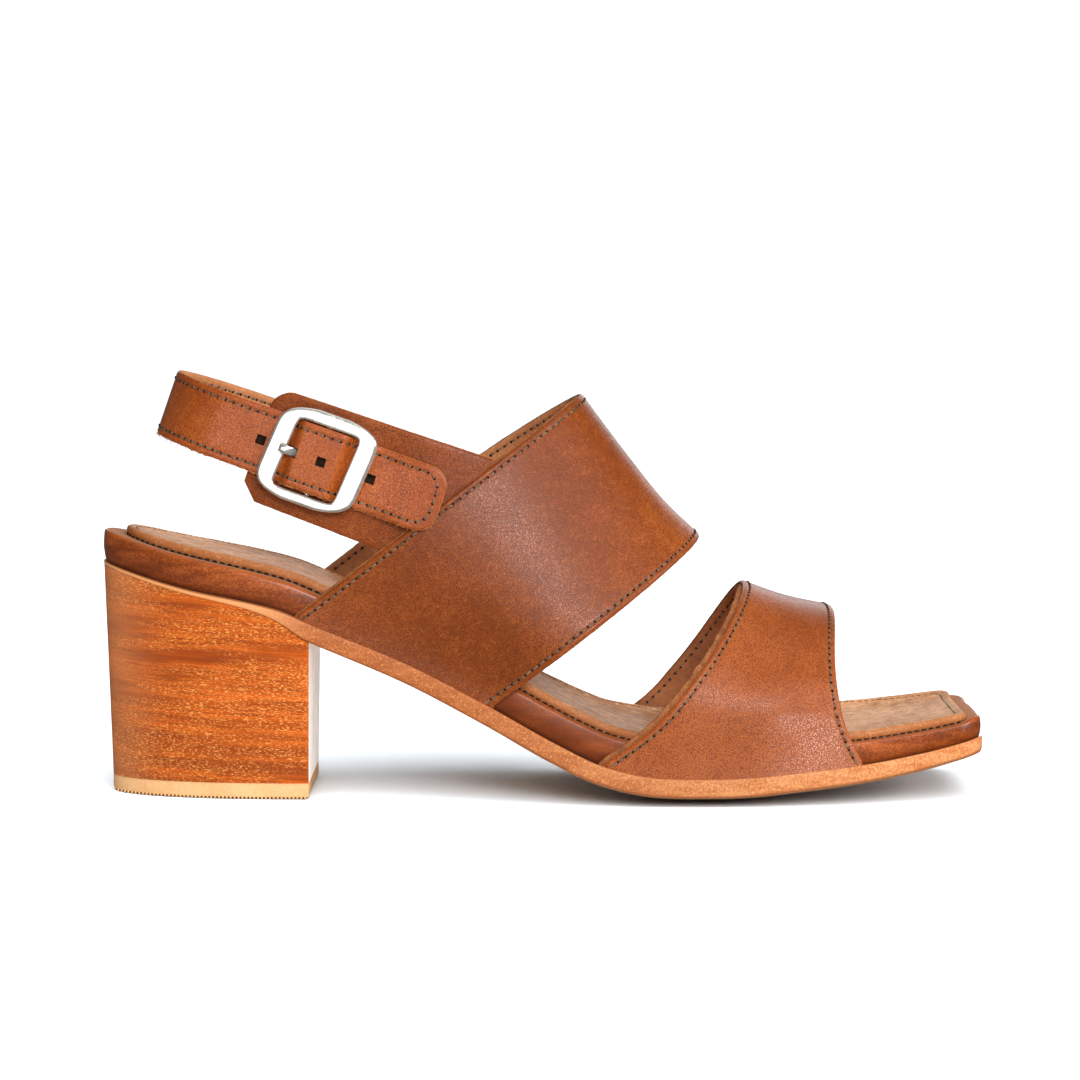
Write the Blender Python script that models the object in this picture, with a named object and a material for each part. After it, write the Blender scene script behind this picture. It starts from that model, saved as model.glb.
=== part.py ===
"""Heeled slingback sandal with a square toe and a block heel, right shoe.

X runs from heel to toe, Y from the lateral side, where the buckle is, to the medial side, Z is up.
The origin is on the floor under the middle of the shoe. Sizes are in millimetres, x from the heel's back.
"""
import math

import bmesh
import bpy
import numpy as np

MM = 0.001
GAP = 0.3                     # clearance between neighbouring pieces
LATERAL, MEDIAL = -1, 1

# Whole shoe
LENGTH = 243.0
CENTRE_Y = 0.6                # middle of the widest lateral and medial reach
HEEL_BREAST = 58.6            # x of the heel's front face
HEEL_ROUND = 2.25             # exponent of the heel's curve in plan, 2 for an ellipse
TOE_RADIUS = 8.0              # corner of the square toe
FLAT_SHARE = 0.45             # share of the half width that lies flat on the floor

# Sole, a row for each station along the shoe. feather is the height of the outsole's top on the
# middle line, outsole and footbed are thicknesses, lifts raise the edges, lateral and medial are half widths
SOLE_COLUMNS = ("x", "feather", "outsole", "footbed", "lateral_lift", "medial_lift", "lateral", "medial")
SOLE_ROWS = (
    (0.0, 64.0, 0.9, 9.3, 0.0, 0.0, 28.8, 28.6),
    (25.0, 57.3, 1.1, 8.9, 0.0, 0.0, 28.8, 28.6),
    (42.5, 53.9, 1.8, 8.3, 0.0, 0.0, 28.8, 28.6),
    (50.0, 52.0, 2.9, 8.1, 0.0, 0.0, 28.8, 28.6),
    (60.0, 47.7, 4.7, 8.0, 0.2, 0.2, 28.8, 28.2),
    (85.0, 37.0, 5.0, 8.0, 0.8, 1.1, 30.0, 26.0),
    (108.0, 24.9, 5.0, 8.0, 1.4, 2.2, 33.6, 26.8),
    (126.0, 14.6, 5.0, 8.4, 2.0, 3.8, 36.8, 29.8),
    (138.0, 8.8, 5.0, 8.9, 2.3, 4.5, 38.8, 32.6),
    (147.0, 6.3, 5.0, 9.2, 2.5, 4.7, 39.9, 34.8),
    (155.0, 5.0, 5.0, 9.0, 2.6, 4.6, 40.6, 36.8),
    (175.0, 5.0, 5.0, 8.2, 2.7, 4.4, 40.7, 40.4),
    (190.0, 6.6, 4.9, 7.6, 2.7, 4.2, 39.2, 41.8),
    (208.0, 8.6, 4.7, 6.9, 2.6, 4.1, 36.0, 41.8),
    (225.0, 11.5, 4.5, 6.2, 2.4, 3.8, 31.2, 40.0),
    (243.0, 15.9, 4.3, 5.4, 2.0, 3.0, 25.5, 36.5),
)
SOLE_BEVEL = 0.8
SHANK_FROM, SHANK_TO = (15.0, 65.0), (195.0, 235.0)   # the layers lean with the sole between these

# Insets from the outsole's outline at the back, the front and the sides
FOOTBED_INSET = (0.2, 0.3, 3.2)
SOCK_INSET = (6.4, 4.3, 6.7)
STRAP_INSET = 2.6             # the straps' inner face, outside the footbed
FOOTBED_ROUND = 2.2
SOCK_THICKNESS = 3.0
SOCK_ROLL = 2.6               # width of the rolled edge
SOCK_DIP = 0.35               # the sock's middle lies this far below its rolled edge

# Heel and top lift
HEEL_TOP_INSET = 0.1
HEEL_BOTTOM_BACK = 2.2
HEEL_BOTTOM_BREAST = 58.1
HEEL_TAPER = 24.0 / 28.4      # width at the bottom over width at the top
LIFT_HEIGHT = 4.3
LIFT_BEVEL = 0.4

# Straps, a row for each section from the rear edge (0) to the front edge (1). The x columns are where
# the section meets the outsole, the crest is its highest point, the widths are the half widths at the belly,
# belly its share of the height, round the exponent of the curve above it, the bows bend the sides forwards
STRAP_COLUMNS = ("share", "lateral_x", "medial_x", "crest_x", "crest_z", "crest_y", "lateral_width",
                 "medial_width", "belly", "round", "lateral_bow", "medial_bow", "bow_at")
INSTEP_ROWS = (
    (0.0, 55.0, 51.0, 131.0, 108.6, 3.0, 29.7, 30.6, 0.45, 2.6, 0.0, -2.4, 0.62),
    (0.44, 78.6, 76.5, 144.9, 90.1, 3.6, 31.6, 32.2, 0.43, 2.45, 0.0, -0.8, 0.55),
    (0.72, 93.6, 92.3, 154.0, 78.8, 4.2, 34.0, 33.4, 0.40, 2.35, 0.0, 0.0, 0.5),
    (1.0, 108.7, 107.6, 164.4, 68.7, 5.0, 36.6, 34.8, 0.38, 2.3, 0.0, 0.0, 0.5),
)
TOE_ROWS = (
    (0.0, 138.6, 139.5, 177.4, 55.2, 5.0, 38.4, 36.0, 0.36, 2.3, 4.6, 5.4, 0.33),
    (0.5, 174.0, 175.0, 190.2, 50.7, 6.0, 38.8, 38.8, 0.36, 2.35, 0.0, 0.4, 0.42),
    (1.0, 208.3, 211.0, 202.9, 47.8, 7.0, 34.2, 38.8, 0.38, 2.4, -4.0, -4.0, 0.50),
)
STRAP_THICKNESS = 2.4
BASE_SHARE = 0.36             # share of a section's points below the belly
BASE_GAP = 0.5                # clearance over the curved outsole

# Heel strap and buckle tab, on a loop that slopes down to the front. p runs forwards along the
# loop's plane from its back, q across the strap, e outwards from the loop
LOOP_BACK_X = 19.9
LOOP_BACK_Z = 107.4
LOOP_SLOPE = math.radians(19.2)
LOOP_RADIUS = 22.5
LEG_SPREAD = math.radians(8.5)
SLING_WIDTH = 18.1
SLING_THICKNESS = 1.85
SLING_TIP = 79.6
SLING_MEDIAL_END = 86.0
SLING_TIP_RADIUS = 5.5
SLING_TIP_LIFT = 1.5          # the tip rides over the instep strap's edge
SLING_LIFT_RUN = (60.0, 73.0)
SLING_TUCK = 2.6              # the medial end runs inside the instep strap
SLING_TUCK_RUN = (50.0, 86.0)
TAB_BACK = 26.4
TAB_FRONT = 83.0
TAB_SLANT = 0.34              # its front end runs along the instep strap's rear edge
TAB_SLANT_RUN = (0.3, 1.0)
TAB_WIDTHS = (31.4, 33.6)
TAB_Q = -0.9
TAB_RADIUS = 6.0
TAB_THICKNESS = 2.0
TAB_TUCK = 1.2                # its front end runs inside the instep strap
TAB_LEAN = 0.11               # and leans in towards the top
TAB_TUCK_RUN = (64.0, 90.0)
HOLES = (27.6, 45.6, 59.2)
HOLE_SIZE = 2.6
PRONG_HOLE = (37.8, 4.8, 3.4)  # place, length and width of the hole that the prong is through

# Buckle
BUCKLE_P = 43.5
BUCKLE_Q = 0.1
BUCKLE_LENGTH = 26.0
BUCKLE_SIDE = 21.6            # height at the straight sides
BUCKLE_CROWN = 27.4           # height over the bowed ends
BUCKLE_WINDOW = (16.9, 19.0)
BUCKLE_THICKNESS = 2.4
BUCKLE_ROUND = 0.7
FRAME_SQUARE = (5.0, 6.0, 13.0)   # squareness of its outer edge, its top and its window
BAR_RADIUS = 0.8
BAR_REACH = 10.6
BAR_BEND = 1.6
GROOVE = (3.2, 1.2)           # width and depth of the prong's rest
PRONG_WIDTH = 2.4
PRONG_THICKNESS = 1.2
PRONG_TIP = 31.6
PRONG_BEND = (35.2, 36.4, 38.6, 39.8)   # where it leaves its rest, drops, lands and lies flat
PRONG_EASE = 0.3
PRONG_TAPER = (0.55, 0.9, 0.7)          # share of the width at the tip, then at a step behind it

# Levels outwards from the loop, and the strap's climb over the bar
BAR_LEVEL = 0.5 * GAP + BAR_RADIUS
FRAME_LEVEL = 1.5 * GAP + SLING_THICKNESS
PRONG_LEVEL = BAR_LEVEL + BAR_RADIUS + GAP
WEAVE_HEIGHT = PRONG_LEVEL + PRONG_THICKNESS + 0.5 * GAP
RAMP = 5.5                    # length of the climb

# Fineness of the meshes
STATIONS = 46                 # along the sole
HEEL_STATIONS = 18
ACROSS = np.array((-1.0, -0.84, -0.65, -0.45, 0.0, 0.45, 0.65, 0.84, 1.0))
FIRST_STATION = 0.06          # the heel's back is cut flat by this much
STRAP_ALONG, STRAP_CLIMB = 9, 21
SLING_STEPS = (10, 25, 44)    # medial leg, round back, lateral leg
SLING_ACROSS = 5
TAB_ALONG, TAB_ACROSS = 14, 9
FRAME_POINTS = 48
BAR_SIDES = 10
ARC_STEPS = 5                 # round the bar's bends, the prong's hook and the rounded strap ends

COLOURS = {                   # base colour, roughness, metallic
    "outsole": ((0.85, 0.31, 0.09), 0.55, 0.0),
    "heel": ((0.64, 0.15, 0.025), 0.4, 0.0),
    "top_lift": ((0.97, 0.57, 0.27), 0.6, 0.0),
    "midsole": ((0.27, 0.075, 0.024), 0.4, 0.0),
    "insole": ((0.55, 0.26, 0.14), 0.5, 0.0),
    "toe_strap": ((0.46, 0.14, 0.055), 0.42, 0.0),
    "instep_and_heel_strap": ((0.40, 0.13, 0.06), 0.42, 0.0),
    "buckle_frame": ((0.85, 0.84, 0.82), 0.16, 1.0),
    "buckle_prong": ((0.85, 0.84, 0.82), 0.16, 1.0),
}


def smooth_step(start, end, value):
    t = np.clip((value - start) / (end - start), 0.0, 1.0)
    return t * t * (3.0 - 2.0 * t)


def monotone(xs, ys, at):
    """Cubic through the points that keeps flat runs flat and adds no bumps."""
    xs, ys, at = np.array(xs, float), np.array(ys, float), np.asarray(at, float)
    step = np.diff(xs)
    rise = np.diff(ys) / step
    slope = np.zeros(len(xs))
    slope[0], slope[-1] = rise[0], rise[-1]
    for i in range(1, len(xs) - 1):
        if rise[i - 1] * rise[i] > 0:
            before, after = 2 * step[i] + step[i - 1], step[i] + 2 * step[i - 1]
            slope[i] = (before + after) / (before / rise[i - 1] + after / rise[i])
    k = np.clip(np.searchsorted(xs, at, side="right") - 1, 0, len(xs) - 2)
    t = (at - xs[k]) / step[k]
    return ((1 + 2 * t) * (1 - t) ** 2 * ys[k] + t * (1 - t) ** 2 * step[k] * slope[k]
            + t * t * (3 - 2 * t) * ys[k + 1] + t * t * (t - 1) * step[k] * slope[k + 1])


def column(columns, rows, name, at):
    """A named column of a table, read smoothly at any value of its first column."""
    place = columns.index(name)
    return monotone([row[0] for row in rows], [row[place] for row in rows], at)


def sole(name, x):
    return column(SOLE_COLUMNS, SOLE_ROWS, name, x)


def half_width(x, side, inset=(0.0, 0.0, 0.0)):
    """Half width of the sole at x: round at the heel, a rounded square at the toe."""
    back, front, inward = inset
    x = np.asarray(x, float)
    width = sole("lateral" if side == LATERAL else "medial", x) - inward
    seat = np.clip((HEEL_BREAST - x) / (HEEL_BREAST - back), 0.0, 1.0)
    radius = TOE_RADIUS - min(front, 0.6 * TOE_RADIUS)
    corner = np.clip(x - (LENGTH - front - radius), 0.0, radius)
    return width * (1 - seat ** HEEL_ROUND) ** (1 / HEEL_ROUND) - radius + np.sqrt(radius ** 2 - corner ** 2)


def edge_lift(x, y):
    side = np.where(y < 0, sole("lateral_lift", x), sole("medial_lift", x))
    half = np.where(y < 0, half_width(x, LATERAL), half_width(x, MEDIAL))
    share = np.clip((np.abs(y) / np.maximum(half, 1.0) - FLAT_SHARE) / (1 - FLAT_SHARE), 0.0, 1.2)
    return side * share ** 2


def sole_point(x, y, height):
    """Point at a height above the feather line, square to the shank's slope and upright at the ends."""
    delta = 0.5
    slope = (sole("feather", x + delta) - sole("feather", x - delta)) / (2 * delta)
    length = np.sqrt(1 + slope ** 2)
    lean = smooth_step(*SHANK_FROM, x) * (1 - smooth_step(*SHANK_TO, x))
    return np.stack([x - lean * height * slope / length, y + 0 * x,
                     sole("feather", x) + edge_lift(x, y) + height / length], axis=-1)


def outsole_underside(x):
    """Height of the outsole's lower face on the middle line."""
    stations = np.linspace(0.0, LENGTH, 400)
    under = sole_point(stations, 0.0 * stations, -sole("outsole", stations))
    return np.interp(x, under[:, 0], under[:, 2])


def plan_grid(inset, first=0.0, last=LENGTH, count=STATIONS):
    """Stations from heel to toe by places across the sole, as x and y."""
    share = 0.5 - 0.5 * np.cos(np.linspace(0.0, math.pi, count))
    start, end = first + inset[0] + FIRST_STATION, last - inset[1]
    x = start + (end - start) * share
    widths = np.where(ACROSS[None, :] < 0, half_width(x, LATERAL, inset)[:, None],
                      half_width(x, MEDIAL, inset)[:, None])
    return np.repeat(x[:, None], len(ACROSS), axis=1), widths * ACROSS[None, :]


def rim(grid):
    """The outer loop of a grid of points."""
    return np.concatenate([grid[:, 0], grid[-1, 1:-1], grid[::-1, -1], grid[0, -2:0:-1]])


def new_object(name, builder):
    mesh = bpy.data.meshes.new(name)
    bmesh.ops.recalc_face_normals(builder, faces=builder.faces)
    builder.to_mesh(mesh)
    builder.free()
    piece = bpy.data.objects.new(name, mesh)
    bpy.context.scene.collection.objects.link(piece)
    return piece


def add_points(builder, points):
    return [builder.verts.new(np.array(point) * MM) for point in points]


def add_grid(builder, grid):
    rows = [add_points(builder, row) for row in grid]
    for one, two in zip(rows, rows[1:]):
        for j in range(len(one) - 1):
            builder.faces.new((one[j], one[j + 1], two[j + 1], two[j]))
    return rows


def bridge(builder, one, two):
    for k in range(len(one)):
        n = (k + 1) % len(one)
        builder.faces.new((one[k], one[n], two[n], two[k]))


def grid_rim(rows):
    return ([row[0] for row in rows] + rows[-1][1:-1] + [row[-1] for row in rows[::-1]]
            + rows[0][-2:0:-1])


def stacked(name, grids):
    """Solid between a lower and an upper grid, its side through the rims of the grids between."""
    builder = bmesh.new()
    lower = grid_rim(add_grid(builder, grids[0]))
    for grid in grids[1:-1]:
        ring = add_points(builder, rim(grid))
        bridge(builder, lower, ring)
        lower = ring
    bridge(builder, lower, grid_rim(add_grid(builder, grids[-1])))
    return new_object(name, builder)


def sole_layer(name, levels):
    """A layer of the sole from levels of inset and height, lowest first."""
    grids = []
    for inset, height in levels:
        x, y = plan_grid(inset)
        grids.append(sole_point(x, y, height(x)))
    return stacked(name, grids)


def grown(inset, by):
    return tuple(value + by for value in inset)


def make_outsole():
    level = (0.0, 0.0, 0.0)
    bevel = grown(level, SOLE_BEVEL)

    def thickness(x):
        return sole("outsole", x)

    def chamfer(x):
        return np.minimum(SOLE_BEVEL, 0.3 * thickness(x))

    return sole_layer("outsole", (
        (bevel, lambda x: -thickness(x)),
        (level, lambda x: -thickness(x) + chamfer(x)),
        (level, lambda x: -0.6 * chamfer(x)),
        (grown(level, 0.5 * SOLE_BEVEL), lambda x: 0.0 * x),
    ))


def make_midsole():
    third = 0.3 * FOOTBED_ROUND

    def top(x):
        return sole("footbed", x)

    return sole_layer("midsole", (
        (grown(FOOTBED_INSET, SOLE_BEVEL), lambda x: GAP + 0.0 * x),
        (FOOTBED_INSET, lambda x: GAP + SOLE_BEVEL + 0.0 * x),
        (FOOTBED_INSET, lambda x: top(x) - FOOTBED_ROUND),
        (grown(FOOTBED_INSET, third), lambda x: top(x) - third),
        (grown(FOOTBED_INSET, FOOTBED_ROUND), top),
    ))


def make_insole():
    def at(share):
        return lambda x: sole("footbed", x) + GAP + share * SOCK_THICKNESS

    flat = (SOCK_THICKNESS - SOCK_DIP) / SOCK_THICKNESS
    return sole_layer("insole", (
        (grown(SOCK_INSET, 0.4 * SOCK_ROLL), at(0.0)),
        (grown(SOCK_INSET, 0.1 * SOCK_ROLL), at(0.2)),
        (SOCK_INSET, at(0.5)),
        (grown(SOCK_INSET, 0.15 * SOCK_ROLL), at(0.82)),
        (grown(SOCK_INSET, 0.5 * SOCK_ROLL), at(1.0)),
        (grown(SOCK_INSET, SOCK_ROLL), at(flat)),
    ))


def heel_plan():
    """Top and bottom outlines of the heel over one grid, as x and y."""
    inset = (HEEL_TOP_INSET, 0.0, HEEL_TOP_INSET)
    x, y = plan_grid(inset, last=HEEL_BREAST, count=HEEL_STATIONS)
    share = (x - x[0, 0]) / (x[-1, 0] - x[0, 0])
    return (x, y), (HEEL_BOTTOM_BACK + (HEEL_BOTTOM_BREAST - HEEL_BOTTOM_BACK) * share, y * HEEL_TAPER)


def make_heel():
    (x, y), (x_low, y_low) = heel_plan()
    top = np.stack([x, y, outsole_underside(x) - GAP], axis=-1)
    bottom = np.stack([x_low, y_low, 0 * x_low + LIFT_HEIGHT + GAP], axis=-1)
    return stacked("heel", (bottom, top))


def make_top_lift():
    x, y = heel_plan()[1]
    middle = 0.5 * (HEEL_BOTTOM_BACK + HEEL_BOTTOM_BREAST)
    shrink = 1 - 2 * LIFT_BEVEL / (HEEL_BOTTOM_BREAST - HEEL_BOTTOM_BACK)
    lower = np.stack([middle + (x - middle) * shrink, y * shrink, 0 * x], axis=-1)
    return stacked("top_lift", (lower, np.stack([x, y, 0 * x + LIFT_BEVEL], axis=-1),
                                np.stack([x, y, 0 * x + LIFT_HEIGHT], axis=-1)))


def strap_side(rows, share, side, climb):
    """Points up one side of a strap section, climb running from 0 at the outsole to 1 at the crest."""
    def read(name):
        return column(STRAP_COLUMNS, rows, name, share)

    word = "lateral" if side == LATERAL else "medial"
    base_x = read(word + "_x")
    base_y = half_width(base_x, side, (0.0, 0.0, STRAP_INSET))
    base_z = sole_point(base_x, side * (base_y + STRAP_THICKNESS), BASE_GAP + 0 * base_x)[2]
    belly, width = read("belly"), read(word + "_width")
    below = np.clip(climb / BASE_SHARE, 0.0, 1.0)
    angle = np.clip((climb - BASE_SHARE) / (1 - BASE_SHARE), 0.0, 1.0) * math.pi / 2
    power = 2 / read("round")
    height = belly * below + (1 - belly) * np.sin(angle) ** power
    reach = np.where(climb < BASE_SHARE, base_y + (width - base_y) * (0.5 - 0.5 * np.cos(math.pi * below)),
                     width * np.abs(np.cos(angle)) ** power)
    reach = np.where(climb > 0.999, 0.0, reach)
    peak = read("bow_at")
    off_peak = np.where(height < peak, (peak - height) / peak, (height - peak) / (1 - peak))
    bow = read(word + "_bow") * (1 - off_peak ** 2)
    return np.stack([base_x + (read("crest_x") - base_x) * height + bow,
                     side * reach + read("crest_y") * smooth_step(belly, 1.0, height),
                     base_z + (read("crest_z") - base_z) * height], axis=-1)


def strap_sheet(rows):
    """Inner face of a strap, from its rear edge to its front edge."""
    climb = np.linspace(0.0, 1.0, STRAP_CLIMB)
    grid = []
    for share in np.linspace(0.0, 1.0, STRAP_ALONG):
        lateral = strap_side(rows, share, LATERAL, climb)
        medial = strap_side(rows, share, MEDIAL, climb)
        grid.append(np.concatenate([lateral, medial[-2::-1]]))
    return np.array(grid)


def leg_point(side, p, q, e):
    """Point on a leg of the heel strap's loop."""
    start = LOOP_RADIUS * (1 - math.sin(LEG_SPREAD))
    run = (p - start) / math.cos(LEG_SPREAD)
    out = LOOP_RADIUS * math.cos(LEG_SPREAD) + run * math.sin(LEG_SPREAD) + e * math.cos(LEG_SPREAD)
    return loop_to_shoe(p - e * math.sin(LEG_SPREAD), side * out, q)


def back_point(angle, q, e):
    """Point on the round back of the loop, angle measured from its rearmost point."""
    reach = LOOP_RADIUS + e
    return loop_to_shoe(LOOP_RADIUS - reach * math.cos(angle), reach * math.sin(angle), q)


def loop_to_shoe(p, y, q):
    return np.array((LOOP_BACK_X + p * math.cos(LOOP_SLOPE) + q * math.sin(LOOP_SLOPE), y,
                     LOOP_BACK_Z - p * math.sin(LOOP_SLOPE) + q * math.cos(LOOP_SLOPE)))


def weave(p):
    """Outward offset of the strap: under the frame's sides and over its bar, with its tip lifted."""
    half = 0.5 * BUCKLE_WINDOW[0]
    rise = smooth_step(BUCKLE_P - half, BUCKLE_P - half + RAMP, p)
    fall = smooth_step(BUCKLE_P + half - RAMP, BUCKLE_P + half, p)
    return 0.5 * GAP + WEAVE_HEIGHT * (rise - fall) + SLING_TIP_LIFT * smooth_step(*SLING_LIFT_RUN, p)


def sling_sheet():
    """Inner face of the heel strap, from under the instep strap round the heel to its free tip."""
    places = np.linspace(-1.0, 1.0, SLING_ACROSS)
    medial, back, lateral = SLING_STEPS
    half = 0.5 * SLING_WIDTH
    start = LOOP_RADIUS * (1 - math.sin(LEG_SPREAD))
    turn = math.pi / 2 - LEG_SPREAD
    grid = []
    for p in np.linspace(SLING_MEDIAL_END, start, medial)[:-1]:
        tuck = SLING_TUCK * smooth_step(*SLING_TUCK_RUN, p)
        grid.append([leg_point(MEDIAL, p, half * place, 0.5 * GAP - tuck) for place in places])
    for angle in np.linspace(turn, -turn, back):
        grid.append([back_point(angle, half * place, 0.5 * GAP) for place in places])
    corner = SLING_TIP - SLING_TIP_RADIUS
    tip = SLING_TIP_RADIUS * np.sin(np.linspace(0.0, math.pi / 2, ARC_STEPS + 1))
    for p in np.concatenate([np.linspace(start, corner, lateral)[1:], corner + tip[1:]]):
        cut = SLING_TIP_RADIUS - math.sqrt(max(0.0, SLING_TIP_RADIUS ** 2 - max(0.0, p - corner) ** 2))
        grid.append([leg_point(LATERAL, p, (half - cut) * place, weave(p)) for place in places])
    return np.array(grid)


def tab_sheet():
    """Inner face of the buckle tab, from its rounded back end to under the instep strap."""
    grid = []
    tip = TAB_RADIUS * (1 - np.cos(np.linspace(0.0, math.pi / 2, ARC_STEPS)))
    straight = np.linspace(TAB_BACK + TAB_RADIUS, TAB_FRONT, TAB_ALONG)
    for along in np.concatenate([TAB_BACK + tip[:-1], straight]):
        share = (along - TAB_BACK) / (TAB_FRONT - TAB_BACK)
        half = 0.5 * (TAB_WIDTHS[0] + (TAB_WIDTHS[1] - TAB_WIDTHS[0]) * share)
        cut = max(0.0, TAB_BACK + TAB_RADIUS - along)
        half -= TAB_RADIUS - math.sqrt(TAB_RADIUS ** 2 - cut ** 2)
        row = []
        for place in np.linspace(-1.0, 1.0, TAB_ACROSS):
            q = TAB_Q + half * place
            p = along + TAB_SLANT * q * smooth_step(*TAB_SLANT_RUN, share)
            tuck = (TAB_TUCK + TAB_LEAN * q) * smooth_step(*TAB_TUCK_RUN, p)
            row.append(leg_point(LATERAL, p, q, -0.5 * GAP - TAB_THICKNESS - tuck))
        grid.append(row)
    return np.array(grid)


def sheet_object(name, grid, outward):
    """An open sheet whose faces point away from the foot."""
    builder = bmesh.new()
    add_grid(builder, grid)
    mesh = bpy.data.meshes.new(name)
    builder.to_mesh(mesh)
    builder.free()
    piece = bpy.data.objects.new(name, mesh)
    bpy.context.scene.collection.objects.link(piece)
    outermost = max(mesh.polygons, key=lambda face: face.center.dot(outward))
    if outermost.normal.dot(outward) < 0:
        mesh.flip_normals()
    return piece


def thicken(piece, thickness):
    modifier = piece.modifiers.new("thickness", "SOLIDIFY")
    modifier.thickness = thickness * MM
    modifier.offset = 1.0
    modifier.use_even_offset = True
    modifier.use_quality_normals = True


def cut(piece, tool, operation="DIFFERENCE"):
    """Boolean with a hidden tool."""
    modifier = piece.modifiers.new(operation.lower(), "BOOLEAN")
    modifier.operation = operation
    modifier.solver = "EXACT"
    modifier.object = tool
    tool.hide_render = True
    tool.display_type = "WIRE"


def leg_box(name, p, q, e, size):
    """Box on the lateral leg, its size along p, q and e."""
    builder = bmesh.new()
    corners = []
    for de in (-0.5, 0.5):
        for dp, dq in ((-0.5, -0.5), (0.5, -0.5), (0.5, 0.5), (-0.5, 0.5)):
            corners.append(leg_point(LATERAL, p + dp * size[0], q + dq * size[1], e + de * size[2]))
    verts = add_points(builder, corners)
    for face in ((0, 1, 2, 3), (4, 5, 6, 7), (0, 1, 5, 4), (1, 2, 6, 5), (2, 3, 7, 6), (3, 0, 4, 7)):
        builder.faces.new([verts[k] for k in face])
    return new_object(name, builder)


def make_toe_strap():
    strap = sheet_object("toe_strap", strap_sheet(TOE_ROWS), (0.0, 0.0, 1.0))
    thicken(strap, STRAP_THICKNESS)
    return [strap]


def make_instep_and_heel_strap():
    strap = sheet_object("instep_and_heel_strap", strap_sheet(INSTEP_ROWS), (0.0, 0.0, 1.0))
    thicken(strap, STRAP_THICKNESS)
    tab = sheet_object("tab_tool", tab_sheet(), (0.0, -1.0, 0.0))
    thicken(tab, TAB_THICKNESS)
    sling = sheet_object("sling_tool", sling_sheet(), (0.0, -1.0, 0.0))
    thicken(sling, SLING_THICKNESS)
    tools = [tab, sling]
    for number, p in enumerate(HOLES):
        hole = leg_box(f"hole_tool_{number}", p, 0.0, weave(p) + 0.5 * SLING_THICKNESS,
                       (HOLE_SIZE, HOLE_SIZE, 2 * SLING_THICKNESS))
        cut(sling, hole)
        tools.append(hole)
    place, length, width = PRONG_HOLE
    hole = leg_box("prong_hole_tool", place, 0.0, 0.5 * WEAVE_HEIGHT + 0.5 * SLING_THICKNESS,
                   (length, width, 4 * SLING_THICKNESS))
    cut(sling, hole)
    cut(strap, tab, "UNION")
    cut(strap, sling, "UNION")
    return [strap, hole] + tools


def frame_outline(length, side, crown, square):
    """Loop of a buckle outline: straight sides, rounded corners and bowed ends."""
    points = []
    power = 2 / square
    for k in range(FRAME_POINTS):
        angle = 2 * math.pi * (k + 0.5) / FRAME_POINTS
        c, s = math.cos(angle), math.sin(angle)
        along = 0.5 * length * math.copysign(abs(c) ** power, c)
        end = side + (crown - side) * (1 - (2 * along / length) ** 2)
        points.append((along, 0.5 * end * math.copysign(abs(s) ** power, s)))
    return points


def make_buckle_frame():
    """Frame of the buckle, rounded outside, with the prong's rest cut in it and its hinge bar joined on."""
    builder = bmesh.new()

    def ring(size, level, square):
        loop = frame_outline(*size, square)
        return add_points(builder, [leg_point(LATERAL, BUCKLE_P + a, BUCKLE_Q + b, FRAME_LEVEL + level)
                                    for a, b in loop])

    window_length, window_height = BUCKLE_WINDOW
    inner = (window_length, window_height, window_height)
    outer = (BUCKLE_LENGTH, BUCKLE_SIDE, BUCKLE_CROWN)
    middle = tuple(0.5 * (a + b) for a, b in zip(inner, outer))
    eased = tuple(value - 2 * BUCKLE_ROUND for value in outer)
    opened = tuple(value + BUCKLE_ROUND for value in inner)
    top = BUCKLE_THICKNESS
    edge, face, window = FRAME_SQUARE
    rings = [ring(eased, 0.0, edge), ring(outer, BUCKLE_ROUND, edge),
             ring(outer, top - 2 * BUCKLE_ROUND, edge), ring(eased, top - 0.5 * BUCKLE_ROUND, edge), ring(middle, top, face),
             ring(opened, top - 0.4 * BUCKLE_ROUND, window), ring(inner, top - 1.4 * BUCKLE_ROUND, window),
             ring(inner, 0.0, window)]
    for one, two in zip(rings, rings[1:] + rings[:1]):
        bridge(builder, one, two)
    frame = new_object("buckle_frame", builder)
    bar = make_bar()
    groove = leg_box("groove_tool", BUCKLE_P - 0.5 * BUCKLE_LENGTH, 0.0, FRAME_LEVEL + top,
                     (1.5 * (BUCKLE_LENGTH - window_length), GROOVE[0], 2 * GROOVE[1]))
    cut(frame, groove)
    cut(frame, bar, "UNION")
    return [frame, bar, groove]


def make_bar():
    """Hinge bar below the frame, its ends turned up into the frame."""
    top = FRAME_LEVEL + 0.5 * BUCKLE_THICKNESS
    route = [(-BAR_REACH, top, 0.0)]
    for turn in np.linspace(0.0, math.pi / 2, ARC_STEPS):
        route.append((-BAR_REACH + BAR_BEND * (1 - math.cos(turn)),
                      BAR_LEVEL + BAR_BEND * (1 - math.sin(turn)), turn))
    route += [(-q, level, math.pi - turn) for q, level, turn in route[::-1]]
    builder = bmesh.new()
    rings = []
    for q, level, turn in route:
        loop = []
        for angle in np.arange(BAR_SIDES) * 2 * math.pi / BAR_SIDES:
            out = BAR_RADIUS * math.sin(angle)
            loop.append(leg_point(LATERAL, BUCKLE_P + BAR_RADIUS * math.cos(angle),
                                  BUCKLE_Q + q + out * math.cos(turn), level + out * math.sin(turn)))
        rings.append(add_points(builder, loop))
    for one, two in zip(rings, rings[1:]):
        bridge(builder, one, two)
    builder.faces.new(rings[0])
    builder.faces.new(rings[-1])
    return new_object("bar_tool", builder)


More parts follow.
